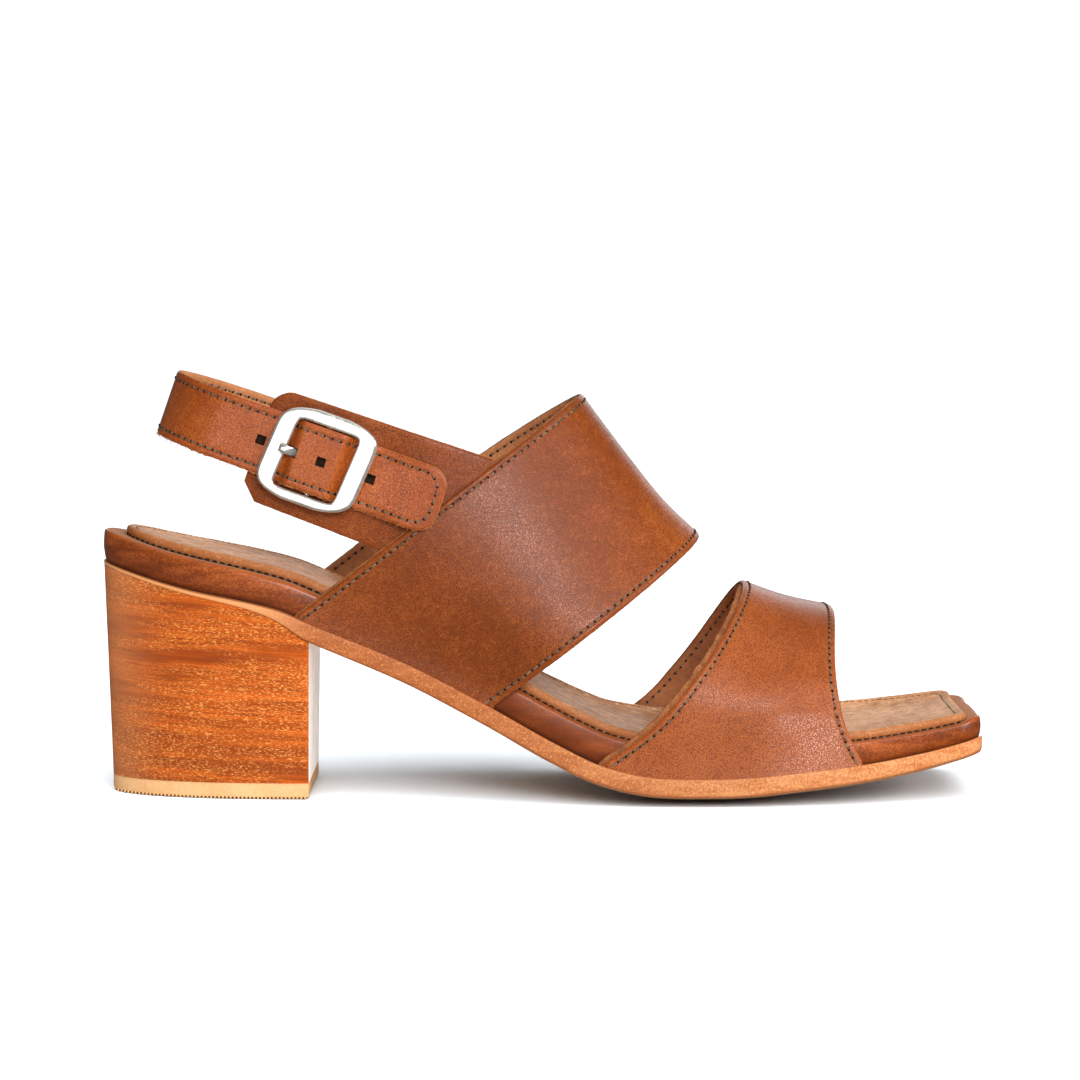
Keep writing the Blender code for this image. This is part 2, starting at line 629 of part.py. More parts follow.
def make_buckle_prong():
    """Flat prong from a hook round the bar, up through the strap's hole to its rest on the frame."""
    rest = FRAME_LEVEL + BUCKLE_THICKNESS - GROOVE[1] + GAP
    low = PRONG_LEVEL
    hook = BAR_RADIUS + GAP
    leave, drop, land, lie = PRONG_BEND
    point, behind, step = PRONG_TAPER
    route = [(PRONG_TIP, rest, point), (PRONG_TIP + step, rest, behind), (leave, rest, 1.0),
             (drop, rest - PRONG_EASE, 1.0), (land, low + PRONG_EASE, 1.0), (lie, low, 1.0),
             (BUCKLE_P, low, 1.0)]
    for turn in np.linspace(0.0, math.pi / 2, ARC_STEPS + 1)[1:]:
        route.append((BUCKLE_P + hook * math.sin(turn), low - hook * (1 - math.cos(turn)), 1.0))
    grid = [[leg_point(LATERAL, p, 0.5 * PRONG_WIDTH * width * place, e) for place in (-1, 0, 1)]
            for p, e, width in route]
    prong = sheet_object("buckle_prong", np.array(grid), (0.0, -1.0, 0.0))
    thicken(prong, PRONG_THICKNESS)
    return [prong]


def paint(piece):
    colour, roughness, metallic = COLOURS[piece.name]
    material = bpy.data.materials.new(piece.name)
    material.use_nodes = True
    shader = material.node_tree.nodes["Principled BSDF"]
    shader.inputs["Base Color"].default_value = (*colour, 1.0)
    shader.inputs["Roughness"].default_value = roughness
    shader.inputs["Metallic"].default_value = metallic
    piece.data.materials.append(material)
    piece.data.shade_smooth()
    piece.data.set_sharp_from_angle(angle=math.radians(40))


def main():
    for old in list(bpy.data.objects):
        bpy.data.objects.remove(old)
    shoe = bpy.data.objects.new("sandal", None)
    bpy.context.scene.collection.objects.link(shoe)
    shoe.location = (-0.5 * LENGTH * MM, -CENTRE_Y * MM, 0.0)
    pieces = [make_outsole(), make_midsole(), make_insole(), make_heel(), make_top_lift()]
    pieces += make_toe_strap() + make_instep_and_heel_strap() + make_buckle_frame() + make_buckle_prong()
    for piece in pieces:
        piece.parent = shoe
        if piece.name in COLOURS:
            paint(piece)


main()
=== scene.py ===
import math

import bmesh
import bpy
import numpy as np
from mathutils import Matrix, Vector, noise


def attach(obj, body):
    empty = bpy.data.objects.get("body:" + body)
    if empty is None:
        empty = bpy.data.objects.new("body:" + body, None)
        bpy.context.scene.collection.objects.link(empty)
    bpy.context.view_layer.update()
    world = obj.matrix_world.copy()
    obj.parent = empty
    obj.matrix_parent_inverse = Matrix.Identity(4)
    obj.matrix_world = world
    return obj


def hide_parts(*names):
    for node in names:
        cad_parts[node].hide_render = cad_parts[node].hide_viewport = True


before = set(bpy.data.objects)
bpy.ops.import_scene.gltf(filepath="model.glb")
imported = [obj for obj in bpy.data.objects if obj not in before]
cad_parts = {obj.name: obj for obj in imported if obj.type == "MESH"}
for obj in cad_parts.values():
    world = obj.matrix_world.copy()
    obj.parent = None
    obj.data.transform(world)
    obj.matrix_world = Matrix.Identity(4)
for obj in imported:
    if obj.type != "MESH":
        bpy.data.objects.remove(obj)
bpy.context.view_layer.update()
print("frame loaded:", len(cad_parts), "nodes")

# the sole's stations, in mm from the back of the heel, as the solids have them
soleLast = {
    "length": 243.0, "middle": 0.6, "heelBreast": 58.6, "heelRound": 2.25, "toeRadius": 8.0,
    "flatShare": 0.45, "shankFrom": (15.0, 65.0), "shankTo": (195.0, 235.0), "tipGap": 0.02,
    "columns": ("x", "feather", "outsole", "footbed", "lateralLift", "medialLift", "lateral", "medial"),
    "rows": (
        (0.0, 64.0, 0.9, 9.3, 0.0, 0.0, 28.8, 28.6),
        (25.0, 57.3, 1.1, 8.9, 0.0, 0.0, 28.8, 28.6),
        (42.5, 53.9, 1.8, 8.3, 0.0, 0.0, 28.8, 28.6),
        (50.0, 52.0, 2.9, 8.1, 0.0, 0.0, 28.8, 28.6),
        (60.0, 47.7, 4.7, 8.0, 0.2, 0.2, 28.8, 28.2),
        (85.0, 37.0, 5.0, 8.0, 0.8, 1.1, 30.0, 26.0),
        (108.0, 24.9, 5.0, 8.0, 1.4, 2.2, 33.6, 26.8),
        (126.0, 14.6, 5.0, 8.4, 2.0, 3.8, 36.8, 29.8),
        (138.0, 8.8, 5.0, 8.9, 2.3, 4.5, 38.8, 32.6),
        (147.0, 6.3, 5.0, 9.2, 2.5, 4.7, 39.9, 34.8),
        (154.0, 5.3, 5.0, 9.0, 2.6, 4.6, 40.6, 36.8),
        (162.0, 5.02, 5.0, 8.7, 2.65, 4.5, 40.7, 38.4),
        (170.0, 5.02, 5.0, 8.4, 2.7, 4.4, 40.7, 39.6),
        (179.0, 5.4, 5.0, 8.1, 2.7, 4.35, 40.4, 40.8),
        (190.0, 6.4, 4.9, 7.7, 2.7, 4.2, 39.2, 41.8),
        (208.0, 8.3, 4.7, 7.1, 2.6, 4.1, 36.0, 41.8),
        (225.0, 11.1, 4.5, 6.6, 2.4, 3.8, 31.2, 40.0),
        (243.0, 15.4, 4.3, 5.9, 2.0, 3.0, 25.5, 36.5),
    ),
}
lateral, medial = -1, 1
quarter = math.pi / 2
overlap = 0.05  # mm by which a piece runs into its neighbour


def smoothStep(start, end, value):
    t = np.clip((np.asarray(value, float) - start) / (end - start), 0.0, 1.0)
    return t * t * (3.0 - 2.0 * t)


def monotone(xs, ys, at):  # cubic through the points that keeps flat runs flat
    xs, ys, at = np.array(xs, float), np.array(ys, float), np.asarray(at, float)
    step = np.diff(xs)
    rise = np.diff(ys) / step
    slope = np.zeros(len(xs))
    slope[0], slope[-1] = rise[0], rise[-1]
    for i in range(1, len(xs) - 1):
        if rise[i - 1] * rise[i] > 0:
            before, after = 2 * step[i] + step[i - 1], step[i] + 2 * step[i - 1]
            slope[i] = (before + after) / (before / rise[i - 1] + after / rise[i])
    k = np.clip(np.searchsorted(xs, at, side="right") - 1, 0, len(xs) - 2)
    t = (at - xs[k]) / step[k]
    return ((1 + 2 * t) * (1 - t) ** 2 * ys[k] + t * (1 - t) ** 2 * step[k] * slope[k]
            + t * t * (3 - 2 * t) * ys[k + 1] + t * t * (t - 1) * step[k] * slope[k + 1])


def tableColumn(columns, rows, name, at):
    column = columns.index(name)
    return monotone([row[0] for row in rows], [row[column] for row in rows], at)


def soleAt(name, x):
    return tableColumn(soleLast["columns"], soleLast["rows"], name, x)


def halfWidth(x, side, inset=(0.0, 0.0, 0.0)):  # round at the heel, a rounded square at the toe
    back, front, inward = inset
    x = np.asarray(x, float)
    width = soleAt("lateral" if side == lateral else "medial", x) - inward
    seat = np.clip((soleLast["heelBreast"] - x) / (soleLast["heelBreast"] - back), 0.0, 1.0)
    radius = soleLast["toeRadius"] - min(front, 0.6 * soleLast["toeRadius"])
    corner = np.clip(x - (soleLast["length"] - front - radius), 0.0, radius)
    power = soleLast["heelRound"]
    return width * (1 - seat ** power) ** (1 / power) - radius + np.sqrt(radius ** 2 - corner ** 2)


def edgeLift(x, y):
    side = np.where(y < 0, soleAt("lateralLift", x), soleAt("medialLift", x))
    half = np.where(y < 0, halfWidth(x, lateral), halfWidth(x, medial))
    flat = soleLast["flatShare"]
    share = np.clip((np.abs(y) / np.maximum(half, 1.0) - flat) / (1 - flat), 0.0, 1.2)
    return side * share ** 2


def solePoint(x, y, height):  # a height above the feather line, square to the shank's slope
    delta = 0.5
    slope = (soleAt("feather", x + delta) - soleAt("feather", x - delta)) / (2 * delta)
    length = np.sqrt(1 + slope ** 2)
    lean = smoothStep(*soleLast["shankFrom"], x) * (1 - smoothStep(*soleLast["shankTo"], x))
    return np.stack([x - lean * height * slope / length, y + 0 * x,
                     soleAt("feather", x) + edgeLift(x, y) + height / length], axis=-1)


def outsoleUnderside(x):
    stations = np.linspace(0.0, soleLast["length"], 500)
    under = solePoint(stations, 0.0 * stations, -soleAt("outsole", stations))
    return np.interp(x, under[:, 0], under[:, 2])


def toFrame(points):  # mm from the heel's back to metres in the CAD frame
    return (np.asarray(points, float) - (0.5 * soleLast["length"], soleLast["middle"], 0.0)) / 1000.0


def ripple(points, scale, seed):  # smooth noise for each point, the scale in mm along x, y and z
    shift = Vector((seed * 7.3, seed * 3.1, seed * 5.7))
    flat = np.asarray(points, float).reshape(-1, 3) / np.asarray(scale, float)
    values = [noise.noise(Vector(point) + shift) for point in flat]
    return np.array(values).reshape(np.asarray(points).shape[:-1])


# meshes
def smoothed(mesh, sharp):
    mesh.shade_smooth()
    mesh.set_sharp_from_angle(angle=math.radians(sharp))
    return mesh


def buildMesh(name, points, faces, slots=None, wrap=None, sharp=35.0):
    mesh = bpy.data.meshes.new(name)
    mesh.from_pydata(toFrame(points).tolist(), [], faces)
    if slots is not None:
        mesh.polygons.foreach_set("material_index", slots)
    if wrap is not None:
        layer = mesh.uv_layers.new(name="wrap")
        corner = np.zeros(len(mesh.loops), int)
        mesh.loops.foreach_get("vertex_index", corner)
        layer.data.foreach_set("uv", np.asarray(wrap, float)[corner].ravel())
    builder = bmesh.new()
    builder.from_mesh(mesh)
    bmesh.ops.recalc_face_normals(builder, faces=builder.faces)
    builder.to_mesh(mesh)
    builder.free()
    return smoothed(mesh, sharp)


def gridFaces(rows, columns, first=0):
    faces = []
    for i in range(rows - 1):
        for j in range(columns - 1):
            a = first + i * columns + j
            faces.append((a, a + 1, a + columns + 1, a + columns))
    return faces


def rimPoints(grid):
    return np.concatenate([grid[:, 0], grid[-1, 1:-1], grid[::-1, -1], grid[0, -2:0:-1]])


def bridgeFaces(one, two):
    following = [np.roll(loop, -1) for loop in (one, two)]
    return np.stack([one, following[0], following[1], two], axis=1).tolist()


def slab(name, lower, upper, rings=(), slots=(0, 0, 1), levels=None, sharp=35.0):
    rows, columns = upper.shape[:2]  # closed body between two grids, its side through the rings
    points = [lower.reshape(-1, 3), upper.reshape(-1, 3)]
    size, cells = rows * columns, (rows - 1) * (columns - 1)
    faces = gridFaces(rows, columns) + gridFaces(rows, columns, size)
    marks = [slots[0]] * cells + [slots[1]] * cells
    level = [np.zeros(size), np.ones(size)]
    index = np.arange(size).reshape(rows, columns)
    loop = rimPoints(index)
    for number, ring in enumerate(rings):
        after = sum(len(p) for p in points) + np.arange(len(ring))
        points.append(ring)
        level.append(np.full(len(ring), levels[number] if levels else (number + 1) / (len(rings) + 1)))
        faces += bridgeFaces(loop, after)
        loop = after
    faces += bridgeFaces(loop, rimPoints(size + index))
    marks += [slots[2]] * (len(loop) * (len(rings) + 1))
    points = np.concatenate(points)
    wrap = np.stack([points[:, 0] / 1000.0, np.concatenate(level)], axis=-1)
    return buildMesh(name, points, faces, marks, wrap, sharp)


def linked(name, data):
    piece = bpy.data.objects.new(name, data)
    bpy.context.scene.collection.objects.link(piece)
    return piece


def place(name, mesh, finishes, node=None):
    piece = linked(name, mesh)
    if not len(mesh.materials):
        for finish in finishes:
            mesh.materials.append(finish)
    if node:
        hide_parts(node)
    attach(piece, "root")
    return piece


def asMesh(piece, name):  # modifiers made a plain mesh
    bpy.context.view_layer.update()
    evaluated = piece.evaluated_get(bpy.context.evaluated_depsgraph_get())
    mesh = bpy.data.meshes.new_from_object(evaluated)
    mesh.name = name
    bpy.data.objects.remove(piece)
    return mesh


# shader maths
def mathOperator(operation, swapped=False):
    def act(self, other):
        pair = (other, self) if swapped else (self, other)
        return self.node("ShaderNodeMath", {"operation": operation}, dict(enumerate(pair)))

    return act


class Wire:
    __add__, __radd__ = mathOperator("ADD"), mathOperator("ADD", True)
    __sub__, __rsub__ = mathOperator("SUBTRACT"), mathOperator("SUBTRACT", True)
    __mul__, __rmul__ = mathOperator("MULTIPLY"), mathOperator("MULTIPLY", True)

    def __init__(self, tree, socket=None):
        self.tree, self.socket = tree, socket

    def node(self, kind, settings=None, values=None, out=0):
        made = self.tree.nodes.new(kind)
        for key, value in (settings or {}).items():
            if key == "stops":
                elements = made.color_ramp.elements
                elements.new(value[1][0])
                for element, (position, colour) in zip(elements, value):
                    element.position, element.color = position, (*colour, 1.0)
            else:
                setattr(made, key, value)
        for key, value in (values or {}).items():
            if isinstance(value, Wire):
                self.tree.links.new(value.socket, made.inputs[key])
            else:
                made.inputs[key].default_value = value
        return Wire(self.tree, made.outputs[out])

    def axis(self, number):
        return self.node("ShaderNodeSeparateXYZ", None, {0: self}, number)

    def within(self, low, high):  # 0 below low, 1 above high, soft between
        return self.node("ShaderNodeMapRange", {"interpolation_type": "SMOOTHSTEP"},
                         {"Value": self, "From Min": low, "From Max": high})

    def blend(self, one, two):  # this value mixes two colours
        one = one if isinstance(one, Wire) else (*one, 1.0)
        two = two if isinstance(two, Wire) else (*two, 1.0)
        return self.node("ShaderNodeMix", {"data_type": "RGBA"}, {0: self, 6: one, 7: two}, 2)

    def ramp(self, dark, mid, light, middle=0.5):
        stops = ((0.0, dark), (middle, mid), (1.0, light))
        return self.node("ShaderNodeValToRGB", {"stops": stops}, {"Fac": self})

    def noise(self, scale, detail=3.0, rough=0.5, stretch=None):
        vector = self
        if stretch:
            vector = self.node("ShaderNodeMapping", None, {"Vector": self, "Scale": stretch})
        return self.node("ShaderNodeTexNoise", None,
                         {"Vector": vector, "Scale": scale, "Detail": detail, "Roughness": rough}, "Fac")


def newFinish(name, roughness=0.5, specular=0.4, metallic=0.0):
    material = bpy.data.materials.new(name)
    material.use_nodes = True
    inputs = material.node_tree.nodes["Principled BSDF"].inputs
    inputs["Roughness"].default_value = roughness
    inputs["Specular IOR Level"].default_value = specular
    inputs["Metallic"].default_value = metallic
    return material, Wire(material.node_tree).node("ShaderNodeTexCoord", None, None, "Object")


def feed(material, **wires):
    inputs = material.node_tree.nodes["Principled BSDF"].inputs
    names = {"colour": "Base Color", "roughness": "Roughness", "normal": "Normal"}
    for key, wire in wires.items():
        wire.tree.links.new(wire.socket, inputs[names[key]])
    return material


def bumped(height, strength, distance):
    return height.node("ShaderNodeBump", None, {"Strength": strength, "Distance": distance, "Height": height})


def wrapLevel(coords):  # 0 at a body's lower face, 1 at its upper one
    return coords.node("ShaderNodeUVMap", {"uv_map": "wrap"}).axis(1)


# finishes of two tones: a broad and a fine noise mix them, the fine one gives the bump
plainLooks = {
    "rawEdge": {"broad": (260.0, 3.0, 0.6), "fine": (1500.0, 4.0, 0.7), "share": 0.4, "span": (0.36, 0.62),
                "rough": (0.82, 0.0, 0.0), "bump": (0.7, 0.00018), "specular": 0.25},
    "lining": {"broad": (60.0, 4.0, 0.6), "fine": (900.0, 4.0, 0.65), "share": 0.6, "span": (0.34, 0.66),
               "rough": (0.58, 0.0, 0.2), "bump": (0.45, 0.00015), "specular": 0.18},
    "sole": {"broad": (40.0, 4.0, 0.6), "fine": (900.0, 3.0, 0.6), "share": 0.7, "span": (0.34, 0.66),
             "rough": (0.42, 0.25, 0.0), "bump": (0.3, 0.0001), "specular": 0.35},
    "breast": {"broad": (120.0, 4.0, 0.65), "fine": (900.0, 4.0, 0.6, (1.0, 1.0, 0.4)), "share": 0.65,
               "span": (0.34, 0.66), "rough": (0.75, 0.0, 0.0), "bump": (0.5, 0.0002), "specular": 0.25},
    "rubber": {"broad": (60.0, 4.0, 0.6), "fine": (1200.0, 3.0, 0.6), "share": 0.6, "span": (0.34, 0.66),
               "rough": (0.5, 0.0, 0.2), "bump": (0.3, 0.0001), "specular": 0.3},
    "thread": {"broad": (700.0, 3.0, 0.6), "fine": (3200.0, 2.0, 0.5), "share": 1.0, "span": (0.36, 0.64),
               "rough": (0.6, 0.0, 0.0), "bump": (0.6, 0.0001), "specular": 0.3},
    # the hole look is near-black: painted shade for holes and grooves
    "hole": {"broad": (900.0, 2.0, 0.5), "fine": (900.0, 2.0, 0.5), "share": 1.0, "span": (0.3, 0.7),
             "rough": (0.9, 0.0, 0.0), "bump": None, "specular": 0.1},
}


def twoTone(name, kind, pale, dark, dirt=None):
    look = plainLooks[kind]
    flat, byBroad, byFine = look["rough"]
    material, coords = newFinish(name, flat, look["specular"])
    broad, fine = coords.noise(*look["broad"]), coords.noise(*look["fine"])
    mask = (broad * look["share"] + fine * (1 - look["share"])).within(*look["span"])
    base = mask.blend(dark, pale)
    if dirt:
        base = dirt(coords, base)
    wires = {"colour": base}
    if byBroad or byFine:
        wires["roughness"] = flat + broad * byBroad + fine * byFine
    if look["bump"]:
        wires["normal"] = bumped(fine, *look["bump"])
    return feed(material, **wires)


def cognacLeather(name, look):
    material, coords = newFinish(name, 0.32, look["shine"])
    broad = coords.noise(look["broadScale"], 2.0, 0.5)
    cloud = coords.noise(120.0, 4.0, 0.6)
    flecks = coords.noise(640.0, 4.0, 0.7)
    fine = coords.noise(2600.0, 2.0, 0.6)
    pebble = coords.node("ShaderNodeTexVoronoi", None, {"Vector": coords, "Scale": look["grainScale"]})
    crevice = (pebble * 0.5 + fine * 0.8).within(0.58, 0.76)  # dark between the pebbles of the grain
    depth = (broad * 0.55 + cloud * 0.3 + flecks * 0.15).within(0.36, 0.64)
    base = depth.ramp(look["dark"], look["mid"], look["light"])
    base = (flecks.within(0.5, 0.7) * 0.5).blend(base, look["light"])
    base = (crevice * look["contrast"]).blend(base, look["pore"])
    height = flecks * 0.15 - crevice * 0.9 + fine * 0.3
    return feed(material, colour=base, roughness=look["rough"] + fine * 0.12 + crevice * 0.08,
                normal=bumped(height, look["bump"], 0.00014))


instepLook = {"dark": (0.20, 0.042, 0.006), "mid": (0.28, 0.063, 0.010), "light": (0.39, 0.098, 0.020),
              "pore": (0.11, 0.020, 0.002), "broadScale": 16.0, "grainScale": 2900.0, "contrast": 0.75,
              "rough": 0.22, "bump": 0.28, "shine": 0.21}
toeLook = dict(instepLook, dark=(0.25, 0.054, 0.008), mid=(0.32, 0.073, 0.012), light=(0.40, 0.100, 0.022),
               pore=(0.15, 0.027, 0.004))
slingLook = dict(instepLook, dark=(0.32, 0.060, 0.006), mid=(0.41, 0.087, 0.011), light=(0.51, 0.120, 0.021),
                 pore=(0.17, 0.030, 0.003), grainScale=2700.0, shine=0.36)
tabLook = dict(instepLook, dark=(0.20, 0.042, 0.008), mid=(0.27, 0.060, 0.011), light=(0.34, 0.084, 0.018),
               grainScale=2700.0)

instepLeather = cognacLeather("instepLeather", instepLook)
toeLeather = cognacLeather("toeLeather", toeLook)
slingLeather = cognacLeather("slingLeather", slingLook)
tabLeather = cognacLeather("tabLeather", tabLook)
# a near-black finish: painted shade in needle holes, punched holes and between the tread ribs
paintedShade = twoTone("paintedShade", "hole", (0.04, 0.02, 0.012), (0.012, 0.007, 0.005))
cutEdge = twoTone("cutEdge", "rawEdge", (0.62, 0.27, 0.105), (0.32, 0.10, 0.030))
liningLeather = twoTone("liningLeather", "lining", (0.62, 0.27, 0.115), (0.38, 0.145, 0.055))
toeLining = twoTone("toeLining", "lining", (0.39, 0.135, 0.047), (0.21, 0.064, 0.019))
# a dark glue line that is also painted shade between the strap layers
glueAndShadeLine = twoTone("glueAndShadeLine", "rawEdge", (0.10, 0.030, 0.010), (0.035, 0.011, 0.005))
rawLedge = twoTone("rawLedge", "rawEdge", (0.42, 0.145, 0.045), (0.19, 0.055, 0.014))
print("leathers mixed")


# layers of the sole
def planGrid(inset, stations, across, last):
    share = 0.5 - 0.5 * np.cos(np.linspace(0.0, math.pi, stations))
    start, end = inset[0] + soleLast["tipGap"], last - inset[1]
    x = start + (end - start) * (0.6 * share + 0.4 * np.linspace(0.0, 1.0, stations))
    places = np.sin(np.linspace(-quarter, quarter, across)) * 0.5 + np.linspace(-1.0, 1.0, across) * 0.5
    outer, inner = halfWidth(x, lateral, inset)[:, None], halfWidth(x, medial, inset)[:, None]
    y = np.where(places[None, :] < 0, outer, inner) * places[None, :]
    return np.repeat(x[:, None], across, axis=1), y


def soleSheet(look, inward, height):  # a layer's outline drawn inwards, at a height over x
    inset = tuple(value + inward for value in look["inset"])
    x, y = planGrid(inset, look["stations"], look["across"], soleLast["length"])
    return solePoint(x, y, height(x))


def soleSheets(look, lower, upper, profile):  # profile: how far inwards, height and level of each ring
    rings = [rimPoints(soleSheet(look, *row[:2])) for row in profile]
    return soleSheet(look, *lower), soleSheet(look, *upper), rings, [row[2] for row in profile]


def overFootbed(lift, share=1.0):
    return lambda x: share * soleAt("footbed", x) + lift


# outsole
outsoleLook = {"inset": (0.0, 0.0, 0.0), "bevel": 0.8, "bevelShare": 0.3, "stations": 170, "across": 21,
               "pale": (0.64, 0.285, 0.110), "deep": (0.48, 0.140, 0.030), "shankDark": (0.34, 0.085, 0.016),
               "burnish": (0.33, 0.085, 0.018), "rim": (0.84, 0.37, 0.14), "speck": (0.87, 0.39, 0.105),
               "under": (0.62, 0.32, 0.15), "underDark": 0.72}


def outsoleEdgeFinish(look):
    material, coords = newFinish("outsoleEdge", 0.55, 0.35)
    level, along = wrapLevel(coords), coords.axis(0)
    fibre = coords.noise(1700.0, 4.0, 0.7)
    streak = coords.noise(240.0, 4.0, 0.6, (0.3, 1.0, 1.6))
    forward = (along + (streak - 0.5) * 0.03).within(-0.05, 0.11)  # burnished at the shank, paler at the toe
    tone = (streak * 0.4 + fibre * 0.6).within(0.40, 0.60)
    base = forward.blend(tone.blend(look["shankDark"], look["deep"]), tone.blend(look["deep"], look["pale"]))
    base = (fibre.within(0.54, 0.70) * 0.65).blend(base, look["speck"])
    base = ((1.0 - fibre.within(0.32, 0.44)) * 0.4).blend(base, look["burnish"])
    seat = 1.0 - along.within(-0.080, -0.060)  # a pale rim round the heel seat
    base = (seat * 0.8).blend(base, look["rim"])
    lowEdge = (1.0 - (level + (streak - 0.5) * 0.2).within(0.02, 0.26)) * (1.0 - seat)
    highEdge = (level + (streak - 0.5) * 0.1).within(0.9, 0.99)
    for edge in (lowEdge, highEdge):
        base = (edge * 0.7).blend(base, look["burnish"])
    return feed(material, colour=base, roughness=0.40 + fibre * 0.22,
                normal=bumped(fibre * 0.7 + streak * 0.5, 0.25, 0.00022))


def makeOutsole(look):
    bevel = look["bevel"]

    def height(share, lift):  # a share of the thickness down, then up by a part of the rounded edge
        def at(x):
            thickness = soleAt("outsole", x)
            return -thickness * share + lift * np.minimum(bevel, look["bevelShare"] * thickness)

        return at

    profile = []
    for turn in np.linspace(0.0, quarter, 5)[1:]:  # rounded lower edge
        lift = 1 - math.cos(turn)
        profile.append((bevel * (1 - math.sin(turn)), height(1.0, lift), 0.02 + 0.2 * lift))
    profile += [(0.0, height(1 - share, 0.0), share) for share in (0.45, 0.7)]
    for turn in np.linspace(0.0, quarter, 4)[:-1]:  # rounded upper edge
        drop = 0.6 * (1 - math.sin(turn))
        profile.append((0.5 * bevel * (1 - math.cos(turn)), height(0.0, -drop), 0.97 - 0.14 * drop))
    lower, upper, rings, levels = soleSheets(look, (bevel, height(1.0, 0.0)),
                                             (0.5 * bevel, lambda x: 0.0 * x + overlap), profile)
    mesh = slab("outsole", lower, upper, rings, (1, 0, 0), levels, 50.0)
    darker = tuple(look["underDark"] * value for value in look["under"])
    finishes = [outsoleEdgeFinish(look), twoTone("soleLeather", "sole", look["under"], darker)]
    return place("outsole", mesh, finishes, "outsole")


makeOutsole(outsoleLook)
print("outsole done")

# midsole, a board wrapped in leather
midsoleLook = {"inset": (0.2, 0.3, 3.2), "round": 1.3, "stations": 200, "across": 17, "crease": 0.16,
               "creaseSize": (16.0, 16.0, 2.2), "foot": 0.25, "footInset": 0.5, "footLevel": -0.1,
               "bulge": (0.35, 0.25), "frontRise": 1.7, "frontRun": (235.5, 239.5), "frontMiddle": 1.0,
               "frontHalf": 27.0,
               "dark": (0.13, 0.024, 0.003), "mid": (0.29, 0.058, 0.007), "light": (0.46, 0.112, 0.020),
               "seam": (0.035, 0.012, 0.006), "top": (0.52, 0.25, 0.12)}


def midsoleFinish(look):
    material, coords = newFinish("midsoleLeather", 0.35, 0.42)
    level, along = wrapLevel(coords), coords.axis(0)
    streak = coords.noise(170.0, 4.0, 0.6, (0.35, 0.35, 1.6))
    grain = coords.noise(1900.0, 4.0, 0.65)
    tone = (streak * 0.5 + grain * 0.5).within(0.36, 0.64)
    base = tone.ramp(look["dark"], look["mid"], look["light"], 0.55)
    # painted shade low on the side and painted light on the upper rounding, as light falls from above
    base = ((1.0 - level.within(0.15, 0.6)) * 0.45).blend(base, look["dark"])
    base = (level.within(0.55, 0.92) * 0.35).blend(base, look["light"])
    shade = along.within(-0.030, -0.006) * (1.0 - along.within(0.004, 0.035))  # painted shade between the straps
    base = (shade * (0.10 + grain.within(0.47, 0.57) * 0.75)).blend(base, look["dark"])
    base = ((1.0 - level.within(0.04, 0.2)) * 0.8).blend(base, look["seam"])
    base = (level.within(0.95, 0.999) * 0.7).blend(base, look["top"])
    return feed(material, colour=base, roughness=0.22 + grain * 0.2 + level.within(0.90, 0.99) * 0.5,
                normal=bumped(streak * 0.6 + grain * 0.5, 0.2, 0.0002))


def makeMidsole(look):
    turn, foot = look["round"], look["foot"]
    low, out = look["bulge"]
    profile = []
    for share in (0.0, 0.2, 0.45, 0.7, 1.0):  # bulging side
        inward = low * (1 - share) ** 3 - out * math.sin(math.pi * share)
        profile.append((inward, overFootbed(foot - share * (turn + foot), share), 0.06 + 0.6 * share))
    for angle in np.linspace(0.0, quarter, 6)[1:-1]:  # rounded upper edge
        profile.append((turn * (1 - math.cos(angle)), overFootbed(-turn * (1 - math.sin(angle))),
                        0.66 + 0.3 * angle / quarter))
    underside = (look["footInset"], overFootbed(look["footLevel"], 0.0))
    lower, upper, rings, levels = soleSheets(look, underside, (turn, overFootbed(overlap)), profile)
    for ring, level in zip(rings[1:], levels[1:]):  # small creases in the wrap
        push = ripple(ring, look["creaseSize"], 3) * look["crease"] * math.sin(math.pi * min(1.0, level))
        ring[:, 1] += np.sign(ring[:, 1]) * push
    for sheet, level in [(upper, 1.0)] + list(zip(rings, levels)):  # the front edge is crowned, not hollow
        crown = np.clip(1 - ((sheet[..., 1] - look["frontMiddle"]) / look["frontHalf"]) ** 2, 0.0, 1.0)
        sheet[..., 2] += look["frontRise"] * level * crown * smoothStep(*look["frontRun"], sheet[..., 0])
    mesh = slab("midsole", lower, upper, rings, (0, 0, 0), levels, 60.0)
    return place("midsole", mesh, [midsoleFinish(look)], "midsole")


makeMidsole(midsoleLook)
print("midsole done")

# sock, padded, with a rolled edge; the profile is inwards and upwards as shares, and the level
sockLook = {"inset": (6.4, 4.3, 6.7), "thickness": 3.0, "roll": 2.6, "dip": 0.35, "seam": 2.75,
            "farSeam": 1.9, "farRun": ((-5.0, 20.0), (205.0, 228.0)), "foot": 0.45, "stations": 300,
            "across": 61, "fill": 0.45, "flexRun": ((112.0, 132.0), (168.0, 186.0)), "toeRun": (196.0, 212.0),
            "creases": {"all": 0.05, "flex": 0.42, "toe": 0.30, "broad": 0.10, "roll": 0.12},
            "profile": ((0.36, 0.04, 0.1), (0.14, 0.16, 0.25), (0.03, 0.34, 0.4), (0.0, 0.55, 0.55),
                        (0.07, 0.75, 0.7), (0.2, 0.9, 0.8), (0.36, 0.98, 0.88), (0.52, 1.0, 0.93),
                        (0.72, 0.965, 0.97), (0.88, 0.91, 0.99)),
            "dark": (0.38, 0.162, 0.064), "mid": (0.68, 0.330, 0.150), "light": (0.90, 0.53, 0.29),
            "rollTone": (0.37, 0.112, 0.024), "wear": (0.27, 0.115, 0.050), "flexTone": (0.33, 0.18, 0.105)}


